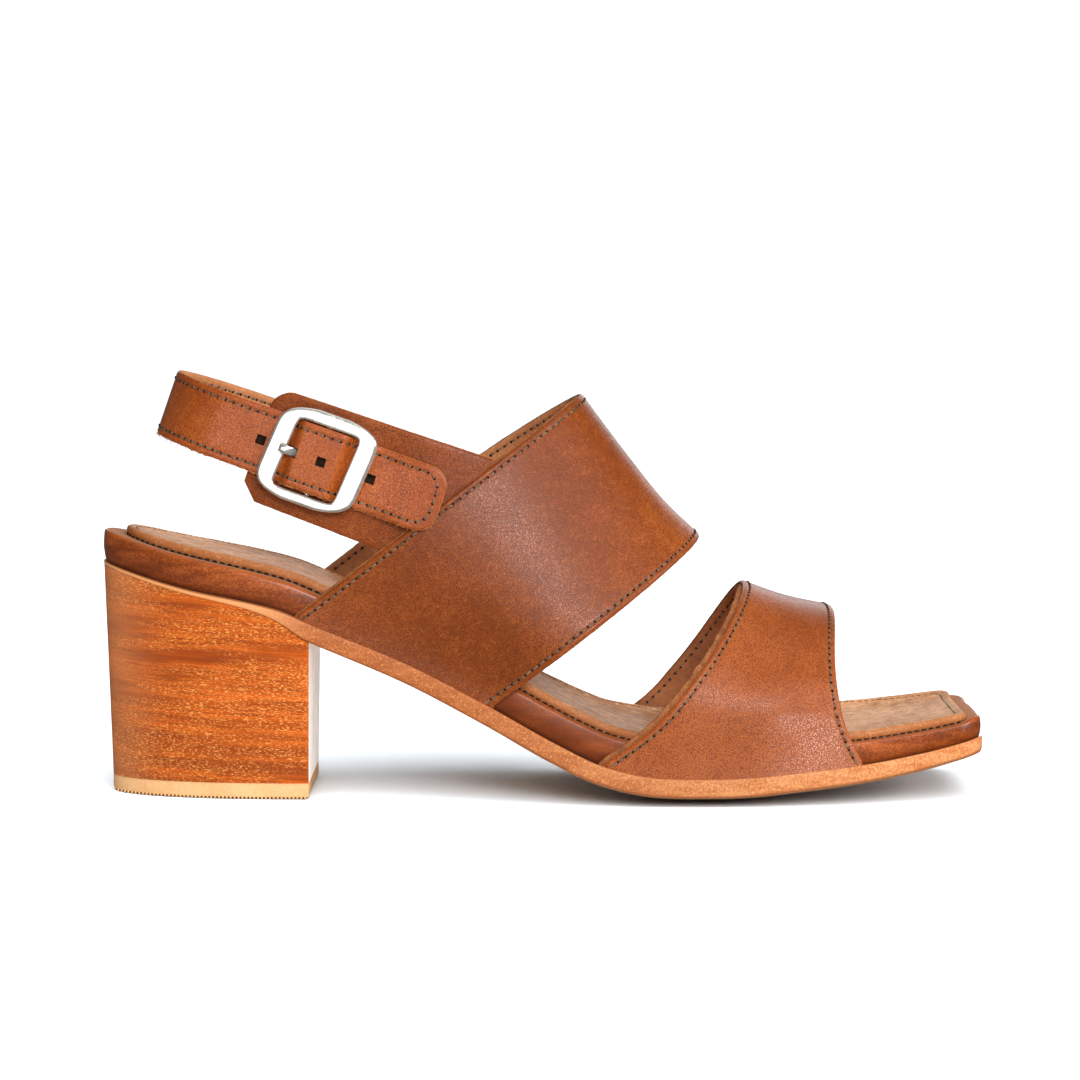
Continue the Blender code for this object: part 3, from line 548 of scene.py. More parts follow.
def sockFinish(look):
    material, coords = newFinish("sockLeather", 0.55, 0.28)
    level, along = wrapLevel(coords), coords.axis(0)
    broad = coords.noise(38.0, 4.0, 0.6)
    line = coords.noise(210.0, 5.0, 0.65, (0.3, 1.3, 1.0))
    grain = coords.noise(1400.0, 4.0, 0.7)
    wrinkle = coords.noise(420.0, 4.0, 0.7, (0.6, 1.2, 1.0))
    blotch = coords.noise(260.0, 4.0, 0.65, (0.6, 1.2, 1.0)).within(0.50, 0.62)
    crack = coords.noise(900.0, 4.0, 0.65, (0.10, 1.0, 1.0))
    tone = (broad * 0.25 + line * 0.2 + wrinkle * 0.25 + grain * 0.3).within(0.40, 0.60)
    base = tone.ramp(look["dark"], look["mid"], look["light"])
    base = (line.within(0.52, 0.66) * wrinkle.within(0.44, 0.60) * 0.6).blend(base, look["wear"])
    base = (blotch * (1.0 - along.within(-0.075, -0.045)) * 0.6).blend(base, look["wear"])  # trodden heel
    flex = along.within(-0.016, 0.004) * (1.0 - along.within(0.050, 0.068))  # greyer where the foot bends
    base = (flex * (0.3 + line * 0.5)).blend(base, look["flexTone"])
    base = (flex * crack.within(0.52, 0.64) * 0.7).blend(base, look["wear"])
    base = (flex * (1.0 - crack.within(0.36, 0.46)) * 0.6).blend(base, look["light"])
    edge = (1.0 - level.within(0.72, 0.98)) * (1.0 - grain.within(0.3, 0.8) * 0.4)
    return feed(material, colour=edge.blend(base, look["rollTone"]), roughness=0.42 + line * 0.25,
                normal=bumped(line * 0.6 + wrinkle * 0.7 + grain * 0.3, 0.6, 0.0003))


def makeSock(look):
    roll, thick = look["roll"], look["thickness"]

    def at(share):
        return overFootbed(share * thick)

    flat = (thick - look["dip"]) / thick
    profile = [(inward * roll, at(share), level) for inward, share, level in look["profile"]]
    lower, upper, rings, levels = soleSheets(look, (look["foot"] * roll, at(0.0)), (roll, at(flat)), profile)
    inner = 1 - np.abs(np.linspace(-1.0, 1.0, look["across"])[None, :]) ** 8  # creases fade out at the roll
    long = ripple(upper, (26.0, 3.4, 9.0), 11)
    cross = ripple(upper, (3.0, 15.0, 9.0), 12)
    x, creases = upper[..., 0], look["creases"]
    (flexFrom, flexTo), (farFrom, farTo) = look["flexRun"], look["farRun"]
    flex = smoothStep(*flexFrom, x) * (1 - smoothStep(*flexTo, x))
    toe = smoothStep(*look["toeRun"], x)
    upper[..., 2] += inner * (creases["all"] * long + creases["flex"] * flex * np.clip(long, -0.6, 0.35)
                              + creases["toe"] * toe * np.clip(cross, -0.7, 0.3))
    upper[..., 2] += inner * creases["broad"] * ripple(upper, (14.0, 10.0, 9.0), 13)
    for ring in rings[3:7]:  # the crest of the roll
        ring[:, 2] += creases["roll"] * ripple(ring, (7.0, 9.0, 9.0), 14)
    mesh = slab("sock", lower, upper, rings, (0, 0, 0), levels, 70.0)
    piece = place("sock", mesh, [sockFinish(look)], "insole")
    border = rimPoints(soleSheet(look, look["seam"], at(flat)))
    farRow = rimPoints(soleSheet(look, look["farSeam"], at(0.93)))
    far = smoothStep(*farFrom, border[:, 1]) * (1 - smoothStep(*farTo, border[:, 0]))
    border += (farRow - border) * far[:, None]  # nearer the edge on the inner side of the foot
    return [border], [rimPoints(soleSheet(look, 0.12 * roll, at(0.10)))]


sockBorder, sockCrease = makeSock(sockLook)
print("sock done")

# heel and top lift
heelLook = {"topInset": 0.1, "bottomBack": 2.2, "bottomBreast": 58.1, "taper": 24.0 / 28.4, "stations": 70,
            "across": 25, "levels": 22, "corner": 0.7, "liftHeight": 4.3, "liftBevel": 0.25, "layer": 3.3,
            "dip": 0.07, "seat": 0.02, "facing": 0.96,
            "dark": (0.29, 0.046, 0.003), "mid": (0.46, 0.081, 0.004), "deep": (0.58, 0.105, 0.006),
            # back: a paler, greyer colour painted on the heel's rear as sheen
            "light": (0.78, 0.30, 0.070), "line": (0.20, 0.036, 0.005), "back": (0.66, 0.30, 0.13),
            "breastPale": (0.97, 0.94, 0.91), "breastDark": (0.84, 0.77, 0.71)}


def heelPlan(look):
    inset = (look["topInset"], 0.0, look["topInset"])
    x, y = planGrid(inset, look["stations"], look["across"], soleLast["heelBreast"])
    radius = look["corner"]
    corner = np.clip(x - (soleLast["heelBreast"] - radius), 0.0, radius)
    places = y / np.maximum(np.abs(y).max(axis=1, keepdims=True), 0.01)
    y = y - places * (radius - np.sqrt(radius ** 2 - corner ** 2))
    share = (x - x[0, 0]) / (x[-1, 0] - x[0, 0])
    low = look["bottomBack"] + (look["bottomBreast"] - look["bottomBack"]) * share
    return (x, y), (low, y * look["taper"])


def heelFinish(look):
    material, coords = newFinish("stackedHeel", 0.45, 0.16)
    along, across, up = (coords.axis(number) for number in range(3))
    wave = coords.noise(22.0, 2.0, 0.5)
    level = up + along * look["dip"] + wave * 0.002  # the layers dip to the front
    stack = coords.node("ShaderNodeCombineXYZ", None, {0: along, 1: across, 2: level})
    streak = stack.noise(480.0, 4.0, 0.6, (0.06, 0.06, 1.0))
    patch = stack.noise(130.0, 3.0, 0.6, (0.18, 0.18, 1.0))
    speck = stack.noise(4300.0, 2.0, 0.55, (0.26, 0.26, 1.0))
    vein = stack.noise(1500.0, 3.0, 0.6, (0.035, 0.035, 1.0))
    band = stack.noise(360.0, 3.0, 0.6, (0.03, 0.03, 1.0))  # long darker layers, most of them near the floor
    tone = (streak * 0.6 + patch * 0.4).within(0.34, 0.66)
    base = tone.ramp(look["dark"], look["mid"], look["deep"], 0.55)
    base = (vein.within(0.52, 0.62) * 0.6).blend(base, look["line"])
    base = (band.within(0.50, 0.62) * 0.5).blend(base, look["dark"])
    base = ((1.0 - up.within(0.008, 0.022)) * band.within(0.38, 0.56) * 0.5).blend(base, look["line"])
    # painted sheen: the rear of the heel is paled towards a lighter, greyer tone, as if lit from behind
    rear = 1.0 - (along + (wave - 0.5) * 0.012).within(-0.1205, -0.100)
    base = (rear * 0.34).blend(base, look["back"])
    shown = speck.within(0.545, 0.61) * patch.within(0.36, 0.60)  # short pale flecks, thicker in some patches
    base = (shown * 0.95).blend(base, look["light"])
    share = level.node("ShaderNodeMath", {"operation": "FRACT"}, {0: level * (1000.0 / look["layer"])})
    joint = (1.0 - share.within(0.0, 0.10)) * stack.noise(70.0, 3.0, 0.6).within(0.46, 0.62)
    base = (joint * 0.45).blend(base, look["line"])
    return feed(material, colour=base, roughness=0.36 + speck * 0.25,
                normal=bumped(speck * 0.8 + streak * 0.3, 0.14, 0.00016))


def makeHeel(look):
    (x, y), (lowX, lowY) = heelPlan(look)
    top = np.stack([x, y, outsoleUnderside(x) + overlap], axis=-1)
    bottom = np.stack([lowX, lowY, 0 * lowX + look["liftHeight"] - look["seat"]], axis=-1)
    shares = np.linspace(0.0, 1.0, look["levels"])[1:-1]
    rings = [rimPoints(bottom + (top - bottom) * share) for share in shares]
    mesh = slab("heel", bottom, top, rings, (0, 0, 0), None, 40.0)
    front = [1 if face.normal.x > look["facing"] else 0 for face in mesh.polygons]
    mesh.polygons.foreach_set("material_index", front)
    breast = twoTone("heelBreast", "breast", look["breastPale"], look["breastDark"])
    return place("heel", mesh, [heelFinish(look), breast], "heel")


heelPiece = makeHeel(heelLook)
print("heel done")

liftLook = {"rib": 1.08, "ribHeight": 0.5, "ribWidth": 0.52, "ribOverlap": 0.15, "ribRun": (1.0, 0.6),
            "grooveInset": 0.45, "grooveFloor": 0.06, "topInset": 0.05, "shoulder": 0.15,
            "pale": (0.90, 0.53, 0.25), "deep": (0.78, 0.40, 0.16), "stain": (0.5, 0.2, 0.07)}


def liftLevel(heel, inset, z):
    lowX, lowY = heelPlan(heel)[1]
    middle = 0.5 * (heel["bottomBack"] + heel["bottomBreast"])
    shrink = 1 - 2 * inset / (heel["bottomBreast"] - heel["bottomBack"])
    return np.stack([middle + (lowX - middle) * shrink, lowY * shrink, 0 * lowX + z], axis=-1)


def makeLift(heel, look, finish):
    bevel, base, top = heel["liftBevel"], look["ribHeight"], heel["liftHeight"]
    rows = [(bevel * (1 - math.sin(turn)), base + bevel * (1 - math.cos(turn)))
            for turn in np.linspace(0.0, quarter, 5)[1:]]
    rings = [rimPoints(liftLevel(heel, inset, z)) for inset, z in rows + [(0.0, top - look["shoulder"])]]
    lower, upper = liftLevel(heel, bevel, base), liftLevel(heel, look["topInset"], top)
    mesh = slab("topLift", lower, upper, rings, (0, 0, 0), None, 50.0)
    return place("topLift", mesh, [finish], "top_lift")


def heelStain(coords, base):  # the heel's dye has run on to the lift
    return (coords.axis(2).within(0.0036, 0.0044) * 0.35).blend(base, liftLook["stain"])


lightRubber = twoTone("topLift", "rubber", liftLook["pale"], liftLook["deep"], heelStain)
makeLift(heelLook, liftLook, lightRubber)
print("top lift done")

# straps, each an outer leather and a lining
strapLook = {
    "inset": 2.6, "thickness": 2.4, "lining": 1.05, "baseShare": 0.36, "baseGap": 0.5, "step": 0.62,
    "middle": 26, "ledge": {"instepStrap": 0.5, "toeStrap": 1.5}, "ledgeRun": (0.42, 0.56), "ledgeWave": 0.12,
    "stitchInset": 1.8, "pitch": 2.4, "groove": 0.2, "grooveWidth": 0.42, "edgeRound": 0.42, "edgeWidth": 0.9,
    "puff": (0.06, 0.95, 0.4), "glued": 0.14, "glueGap": 0.01, "fray": (0.05, 0.12, 0.1),
    "fraySize": (0.9, 3.0), "tuck": 1.1, "sunk": 0.06,
    "edgeSteps": (0.0, 0.1, 0.28, 0.55, 0.95, 1.3, 1.55, 1.8, 2.05, 2.3, 2.8, 3.7, 5.6),
    "columns": ("share", "lateralX", "medialX", "crestX", "crestZ", "crestY", "lateralWidth", "medialWidth",
                "belly", "round", "lateralBow", "medialBow", "bowAt"),
}
instepRows = (
    (0.0, 55.0, 51.0, 131.0, 108.6, 3.0, 29.7, 30.6, 0.45, 2.6, 0.0, -2.4, 0.62),
    (0.44, 78.6, 76.5, 144.9, 90.1, 3.6, 31.6, 32.2, 0.43, 2.45, 0.0, -0.8, 0.55),
    (0.72, 93.6, 92.3, 154.0, 78.8, 4.2, 34.0, 33.4, 0.40, 2.35, 0.0, 0.0, 0.5),
    (1.0, 108.7, 107.6, 164.4, 68.7, 5.0, 36.6, 34.8, 0.38, 2.3, 0.0, 0.0, 0.5),
)
toeRows = (
    (0.0, 138.6, 139.5, 177.4, 55.2, 5.0, 38.4, 36.0, 0.36, 2.3, 4.6, 5.4, 0.33),
    (0.5, 174.0, 175.0, 190.2, 50.7, 6.0, 38.8, 38.8, 0.36, 2.35, 0.0, 0.4, 0.42),
    (1.0, 208.3, 211.0, 202.9, 47.8, 7.0, 34.2, 38.8, 0.38, 2.4, -4.0, -4.0, 0.50),
)


def strapSide(rows, share, side, climb):
    def read(name):
        return tableColumn(strapLook["columns"], rows, name, share)

    word = "lateral" if side == lateral else "medial"
    baseX = read(word + "X")
    baseY = halfWidth(baseX, side, (0.0, 0.0, strapLook["inset"]))
    baseZ = solePoint(baseX, side * (baseY + strapLook["thickness"]), strapLook["baseGap"] + 0 * baseX)[2]
    belly, width = read("belly"), read(word + "Width")
    foot = strapLook["baseShare"]
    below = np.clip(climb / foot, 0.0, 1.0)
    angle = np.clip((climb - foot) / (1 - foot), 0.0, 1.0) * quarter
    power = 2 / read("round")
    height = belly * below + (1 - belly) * np.sin(angle) ** power
    reach = np.where(climb < foot, baseY + (width - baseY) * (0.5 - 0.5 * np.cos(math.pi * below)),
                     width * np.abs(np.cos(angle)) ** power)
    reach = np.where(climb > 0.9999, 0.0, reach)
    peak = read("bowAt")
    offPeak = np.where(height < peak, (peak - height) / peak, (height - peak) / (1 - peak))
    bow = read(word + "Bow") * (1 - offPeak ** 2)
    return np.stack([baseX + (read("crestX") - baseX) * height + bow,
                     side * reach + read("crestY") * smoothStep(belly, 1.0, height),
                     baseZ + (read("crestZ") - baseZ) * height], axis=-1)


def runLength(path):
    return np.concatenate([[0.0], np.cumsum(np.linalg.norm(np.diff(path, axis=0), axis=1))])


def pathAt(path, along, at):
    return np.stack([np.interp(at, along, path[:, axis]) for axis in range(3)], axis=-1)


def strapSurface(rows, look):  # inner face over stations round the foot by places across the strap
    fineClimb = np.linspace(0.0, 1.0, 600)
    climbs = {}
    for side in (lateral, medial):
        along = runLength(strapSide(rows, 0.5, side, fineClimb))
        climbs[side] = np.interp(np.linspace(0.0, along[-1], int(along[-1] / look["step"])), along, fineClimb)
    dense = []
    for share in np.linspace(0.0, 1.0, 61):
        one, two = (strapSide(rows, share, side, climbs[side]) for side in (lateral, medial))
        dense.append(np.concatenate([one, two[-2::-1]]))
    dense = np.array(dense).transpose(1, 0, 2)
    edgeSteps = np.array(look["edgeSteps"])
    tangent = np.gradient(np.stack([dense[:, 0], dense[:, -1]]), axis=1)
    tangent /= np.linalg.norm(tangent, axis=2, keepdims=True)
    grid = []
    for k, row in enumerate(dense):
        along = runLength(row)
        lean = []
        for end, step in ((0, row[1] - row[0]), (1, row[-1] - row[-2])):
            step = step / np.linalg.norm(step)
            lean.append(max(0.4, math.sqrt(max(0.0, 1 - float(np.dot(step, tangent[end, k])) ** 2))))
        rear = edgeSteps / lean[0]
        front = along[-1] - edgeSteps[::-1] / lean[1]
        inner = np.linspace(rear[-1], front[0], look["middle"] + 2)[1:-1]
        grid.append(pathAt(row, along, np.concatenate([rear, inner, front])))
    middle, beyond = np.full(look["middle"], 9.0), np.full(len(edgeSteps), 99.0)
    fromRear = np.concatenate([edgeSteps, middle, beyond])
    return np.array(grid), fromRear, fromRear[::-1]


def outwards(grid, centre):
    normal = np.cross(np.gradient(grid, axis=0), np.gradient(grid, axis=1))
    normal /= np.maximum(np.linalg.norm(normal, axis=2, keepdims=True), 1e-9)
    return normal if np.mean(np.sum(normal * (grid - centre), axis=2)) >= 0 else -normal


def relief(look, distance, along):  # how far the face drops: a rounded edge and the stitch groove
    edge = look["edgeRound"] * np.clip(1 - distance / look["edgeWidth"], 0.0, 1.0) ** 2.2
    pull = 0.62 + 0.38 * np.cos(2 * math.pi * along / look["pitch"])
    trough = np.exp(-((distance[None, :] - look["stitchInset"]) / look["grooveWidth"]) ** 2)
    swell, swellAt, swellWidth = look["puff"]
    puff = -swell * np.exp(-((distance[None, :] - swellAt) / swellWidth) ** 2)
    return edge[None, :] + look["groove"] * trough * pull[:, None] + puff


def roughRing(ring, away, look, seed):  # a raw edge, uneven along its run
    fine, coarse = (ripple(ring, (size, size, size), seed) for size in look["fraySize"])
    even, byFine, byCoarse = look["fray"]
    return ring + away * (even + byFine * fine + byCoarse * coarse)[:, None]


def proudRear(name, grid, look):  # the lining is cut a little proud at the outer side's rear edge
    rear = grid[:, 0] - grid[:, 2]
    near = 1 - smoothStep(*look["ledgeRun"], np.linspace(0.0, 1.0, len(rear)))
    wave = 1 + look["ledgeWave"] * ripple(grid[:, 0], (3.0, 3.0, 3.0), 23)
    reach = look["ledge"][name] * near * wave
    return rear * (reach / np.linalg.norm(rear, axis=1))[:, None]


def strapLayers(name, rows, look, finishes, node):
    grid, fromRear, fromFront = strapSurface(rows, look)
    centre = np.array([grid[..., 0].mean(), 0.0, 0.4 * grid[..., 2].max()])
    normal = outwards(grid, centre)
    grooves = [int(np.argmin(np.abs(distance - look["stitchInset"]))) for distance in (fromRear, fromFront)]
    drop = sum(relief(look, distance, runLength(grid[:, groove]))
               for distance, groove in zip((fromRear, fromFront), grooves))
    outer = grid + normal * (look["thickness"] - drop)[..., None]
    inside = grid + normal * drop[..., None]
    joined = grid + normal * look["lining"]
    middle = rimPoints(joined)
    for edge, within in ((0, 1), (-1, -2)):  # the joint lies a little back from the cut edges
        joined[:, edge] += look["glued"] * (joined[:, within] - joined[:, edge]) / look["edgeSteps"][1]
    for sheet in (outer, inside, joined):  # the ends run down into the sole
        sheet[[0, -1], :, 2] -= look["tuck"]
    last = grid.shape[1] - 1
    away = rimPoints(grid) - rimPoints(grid[:, [1] + list(range(1, last)) + [last - 1]])
    away /= np.maximum(np.linalg.norm(away, axis=1, keepdims=True), 0.05)
    roughEdge, roughLining = (roughRing(0.5 * rimPoints(sheet) + 0.5 * middle, away, look, seed)
                              for sheet, seed in ((outer, 21), (inside, 22)))
    parting = normal * look["glueGap"]
    skin = slab(name, joined + parting, outer, [roughEdge], (2, 0, 1), None, 50.0)
    rear = proudRear(name, grid, look)
    inside[:, 0] += rear
    joined[:, 0] += rear
    roughLining[:len(rear)] += rear
    lining = slab(name + "Lining", inside, joined - parting, [roughLining], (0, 0, 1), None, 50.0)
    cells = (grid.shape[0] - 1) * last
    for number in range(2 * cells, 2 * cells + len(roughEdge)):  # a dark line of glue between the layers, darkened further as painted shade where they meet
        skin.polygons[number].material_index = 3
    for number in range(cells, 2 * cells, last):  # the proud strip is raw
        lining.polygons[number].material_index = 1
    leather, edge, under = finishes
    place(name, skin, [leather, edge, under, glueAndShadeLine], node)
    place(name + "Lining", lining, [under, rawLedge], node)
    keep = slice(1, -1)
    stitches = [sheet[keep, groove] + side * look["sunk"] * normal[keep, groove]
                for sheet, side in ((outer, -1), (inside, 1)) for groove in grooves]
    return stitches, joined[keep, 0]


upperNode = "instep_and_heel_strap"
instepFinishes = (instepLeather, cutEdge, liningLeather)
toeFinishes = (toeLeather, cutEdge, toeLining)
instepStitches = strapLayers("instepStrap", instepRows, strapLook, instepFinishes, upperNode)[0]
toeStitches, toeRearEdge = strapLayers("toeStrap", toeRows, strapLook, toeFinishes, "toe_strap")
print("instep and toe straps done")

# heel strap, on a loop that slopes down to the front; p runs forwards, q across, e outwards
loopLook = {"backX": 19.9, "backZ": 107.4, "slope": math.radians(19.2), "radius": 22.5,
            "spread": math.radians(8.5)}
loopUp = np.array([math.sin(loopLook["slope"]), 0.0, math.cos(loopLook["slope"])])
buckleLook = {"p": 44.1, "q": 0.1, "length": 28.2, "side": 21.4, "crown": 26.9, "lean": 0.08,
              "window": (17.6, 19.6), "windowDrop": 0.4, "thickness": 2.4, "square": (7.0, 13.0),
              "barRadius": 0.8, "barReach": 11.6, "barBend": 1.6, "groove": (3.0, 1.1),
              "grooveRun": (33.4, 39.4), "prongWidth": 2.5, "prongThickness": 1.2, "prongTip": 33.5,
              "prongPoint": ((0.0, 0.2), (0.12, 0.55), (0.4, 0.82), (0.9, 1.0)),
              "prongRoute": ((35.4, 1.0, 0.0), (36.1, 1.0, -0.15), (37.0, 0.5, 0.3), (38.2, 0.0, 0.4),
                             (39.8, 0.0, 0.0)), "points": 160, "spin": 16,
              "profile": ((0.90, 0.0), (0.97, 0.04), (1.0, 0.14), (1.0, 0.62), (0.985, 0.78), (0.95, 0.90),
                          (0.905, 0.97), (0.85, 1.0), (0.6, 1.0), (0.3, 1.0), (0.08, 1.0), (0.035, 0.97),
                          (0.008, 0.90), (0.0, 0.78), (0.0, 0.2), (0.05, 0.05), (0.18, 0.0), (0.5, 0.0)),
              "pale": (0.95, 0.92, 0.86), "dark": (0.84, 0.80, 0.73)}
slingSizes = {"width": 18.1, "thickness": 1.85, "lining": 0.85, "tip": 79.6, "medialEnd": 86.0,
              "tipRadius": 5.5, "tipLift": 1.5, "liftRun": (60.0, 73.0), "tuck": 2.6, "tuckRun": (50.0, 86.0),
              "ramp": 3.4, "gap": 0.3, "step": 0.62, "holes": (27.6, 45.6, 59.2), "hole": 2.6,
              "holeFloor": 0.3, "punch": 9.0, "prongHole": (37.0, 3.4, 2.8), "stitchInset": 2.05,
              "edgeRound": 0.32, "edgeRun": 4.0, "middlePlaces": (-2.6, 0.0, 2.6), "fadeRun": (7.0, 4.5),
              "endRound": (0.3, 0.8), "fray": (0.10, 0.55, 0.3), "cleanCut": (0.05, 0.08),
              "fraySize": (0.9, 1.2, 2.6), "sewnFrom": 4, "liningLeft": 60}
frameLevel = 1.5 * slingSizes["gap"] + slingSizes["thickness"]  # the buckle frame's underside, outwards
barLevel = 0.5 * slingSizes["gap"] + buckleLook["barRadius"]  # the middle of its hinge bar


def loopToShoe(p, y, q):
    c, s = math.cos(loopLook["slope"]), math.sin(loopLook["slope"])
    x, z = loopLook["backX"] + p * c + q * s, loopLook["backZ"] - p * s + q * c
    return np.stack([x, y + 0 * p, z], axis=-1)


def legPoint(side, p, q, e):
    p, q, e = np.broadcast_arrays(np.asarray(p, float), np.asarray(q, float), np.asarray(e, float))
    c, s = math.cos(loopLook["spread"]), math.sin(loopLook["spread"])
    run = (p - loopLook["radius"] * (1 - s)) / c
    return loopToShoe(p - e * s, side * (loopLook["radius"] * c + run * s + e * c), q)


def backPoint(angle, q, e):
    angle, q, e = np.broadcast_arrays(np.asarray(angle, float), np.asarray(q, float), np.asarray(e, float))
    reach = loopLook["radius"] + e
    return loopToShoe(loopLook["radius"] - reach * np.cos(angle), reach * np.sin(angle), q)


def weave(p):  # under the frame's sides, over its bar, with the tip lifted
    s, b = slingSizes, buckleLook
    height = barLevel + b["barRadius"] + s["gap"] + b["prongThickness"] + 0.5 * s["gap"]
    half = 0.5 * b["window"][0]
    rise = smoothStep(b["p"] - half, b["p"] - half + s["ramp"], p)
    fall = smoothStep(b["p"] + half - s["ramp"], b["p"] + half, p)
    return 0.5 * s["gap"] + height * (rise - fall) + s["tipLift"] * smoothStep(*s["liftRun"], p)


def slingSections(look):  # for each station along the strap: a function of q and e, its width's share, its p
    start = loopLook["radius"] * (1 - math.sin(loopLook["spread"]))
    turn = quarter - loopLook["spread"]
    step = look["step"]
    sections = []
    for p in np.arange(look["medialEnd"], start, -step):
        level = 0.5 * look["gap"] - look["tuck"] * float(smoothStep(*look["tuckRun"], p))
        sections.append((lambda q, e, p=p, level=level: legPoint(medial, p, q, e + level), 1.0, None))
    for angle in np.arange(turn, -turn, -step / loopLook["radius"]):
        sections.append((lambda q, e, angle=angle: backPoint(angle, q, e + 0.5 * look["gap"]), 1.0, None))
    radius = look["tipRadius"]
    corner = look["tip"] - radius
    fan = radius * np.sin(np.linspace(0.0, quarter, 13))
    for p in np.concatenate([np.arange(start, corner, step), corner + fan]):
        cut = radius - math.sqrt(max(0.0, radius ** 2 - max(0.0, p - corner) ** 2))
        shrink = 1 - cut / (0.5 * look["width"])
        sections.append((lambda q, e, p=p: legPoint(lateral, p, q, e + float(weave(p))), shrink, p))
    return sections


def slingLayers(look):
    sections = slingSections(look)
    half = 0.5 * look["width"]
    edgeSteps = np.array([step for step in strapLook["edgeSteps"] if step < look["edgeRun"]])
    q = np.concatenate([-half + edgeSteps, look["middlePlaces"], half - edgeSteps[::-1]])
    distance = np.minimum(q + half, half - q)
    sizes = dict(strapLook, stitchInset=look["stitchInset"], edgeRound=look["edgeRound"])
    drop = relief(sizes, distance, np.arange(len(sections)) * look["step"])
    tips = np.array([section[2] if section[2] is not None else 0.0 for section in sections])
    fade = 1 - smoothStep(*(look["tip"] - run for run in look["fadeRun"]), tips)[:, None]
    deep, wide = look["endRound"]
    endRound = deep * np.clip(1 - (look["tip"] - tips) / wide, 0.0, 1.0) ** 2
    plain = strapLook["edgeRound"] * wide * np.clip(1 - distance[None, :] / wide, 0.0, 1.0) ** 2
    drop = drop * fade + (1 - fade) * plain + endRound[:, None]
    inner = half - strapLook["glued"]
    outer, joined, inside = [], [], []
    for (point, shrink, p), row in zip(sections, drop):
        outer.append(point(q * shrink, look["thickness"] - row))
        joined.append(point(np.clip(q, -inner, inner) * shrink, 0 * q + look["lining"]))
        inside.append(point(q * shrink, row))
    outer, joined, inside = np.array(outer), np.array(joined), np.array(inside)
    middles = [0.5 * (rimPoints(sheet) + rimPoints(joined)) for sheet in (outer, inside)]
    rimQ = rimPoints(np.repeat(q[None, :], len(sections), axis=0))
    (even, byFine, byCoarse), (cut, byMiddle) = look["fray"], look["cleanCut"]
    for ring, seed in zip(middles, (31, 32)):  # the lower edge is torn, the upper one clean
        fine, middle, coarse = (ripple(ring, (size, size, size), seed) for size in look["fraySize"])
        fray = even + byFine * np.clip(fine, -0.2, 1.0) + byCoarse * coarse
        ring -= loopUp * np.where(rimQ < -half + 0.01, fray, 0.0)[:, None]
        ring += loopUp * np.where(rimQ > half - 0.01, cut + byMiddle * middle, 0.0)[:, None]
    skin = slab("heelStrap", joined, outer, middles[:1], (2, 0, 1), None, 50.0)
    lining = slab("heelStrapLining", inside, joined, middles[1:], (0, 0, 1), None, 50.0)
    return skin, lining, outer[:, 0]


def punchTool(name, p, level, size):  # a square punch through the strap
    corners, faces = [], [(0, 1, 2, 3), (4, 5, 6, 7), (0, 1, 5, 4), (1, 2, 6, 5), (2, 3, 7, 6), (3, 0, 4, 7)]
    for e in (-0.5, 0.5):
        for dp, dq in ((-0.5, -0.5), (0.5, -0.5), (0.5, 0.5), (-0.5, 0.5)):
            corners.append(legPoint(lateral, p + dp * size[0], dq * size[1], level + e * size[2]))
    tool = linked(name, buildMesh(name, np.array(corners), faces))
    # the tool's dark finish goes on to the cut walls as painted shade in the holes
    tool.data.materials.append(paintedShade)
    return tool


def punched(mesh, name, tools):
    piece = linked(name, mesh)
    for tool in tools:
        modifier = piece.modifiers.new("punch", "BOOLEAN")
        modifier.operation = "DIFFERENCE"
        modifier.solver = "EXACT"
        modifier.material_mode = "TRANSFER"
        modifier.object = tool
    return smoothed(asMesh(piece, name), 50.0)


def makeSling(look):
    skin, lining, lowEdge = slingLayers(look)
    deep = look["punch"]
    hole = (look["hole"], look["hole"], deep)
    above = look["holeFloor"] + 0.5 * deep
    tools = [punchTool("punch", p, float(weave(p)) + above, hole) for p in look["holes"]]
    p, length, width = look["prongHole"]
    tools.append(punchTool("prongPunch", p, float(weave(p)) + 0.5 * look["thickness"], (length, width, deep)))
    layers = (("heelStrap", skin, [slingLeather, cutEdge, liningLeather]),
              ("heelStrapLining", lining, [liningLeather, cutEdge]))
    for name, mesh, finishes in layers:
        for finish in finishes:
            mesh.materials.append(finish)
        place(name, punched(mesh, name, tools), finishes, upperNode)
    for tool in tools:
        bpy.data.objects.remove(tool)
    return slingStitchPath(look), lowEdge


def slingStitchPath(look):  # along both edges and round the tip
    half = 0.5 * look["width"] - look["stitchInset"]
    radius = max(0.8, look["tipRadius"] - look["stitchInset"] + 0.8)
    end = look["tip"] - look["stitchInset"]
    lift = look["thickness"] - strapLook["groove"] * 0.6
    straight = [s for s in slingSections(look) if s[2] is None or s[2] < end - radius]
    straight = straight[look["sewnFrom"]:]
    low, high = ([s[0](q, lift) for s in straight] for q in (-half, half))
    bend = []
    for first, middle in ((-quarter, -half + radius), (0.0, half - radius)):
        for turn in np.linspace(first, first + quarter, 9):
            bend.append((end - radius + radius * math.cos(turn), middle + radius * math.sin(turn)))
    tip = [legPoint(lateral, p, q, float(weave(p)) + look["thickness"] - 0.02) for p, q in bend]
    lined = straight[:-look["liningLeft"]]
    insideRows = [np.array([s[0](q, strapLook["groove"] * 0.5) for s in lined]) for q in (-half, half)]
    return [np.array(low + tip + high[::-1])] + insideRows


slingStitches, slingLowEdge = makeSling(slingSizes)
print("heel strap done")

# buckle tab, behind the heel strap
tabSizes = {"back": 26.4, "front": 83.0, "slant": 0.34, "slantRun": (0.3, 1.0), "widths": (31.4, 33.6),
            "q": -0.9, "radius": 6.0, "chamfer": 4.4, "thickness": 2.0, "tuck": 1.2, "lean": 0.11,
            "tuckRun": (64.0, 90.0), "gap": 0.3, "across": 27, "step": 0.9, "edge": (0.34, 0.9),
            "fray": (0.08, 0.12), "middleLine": ((30, 110), (98, 72))}


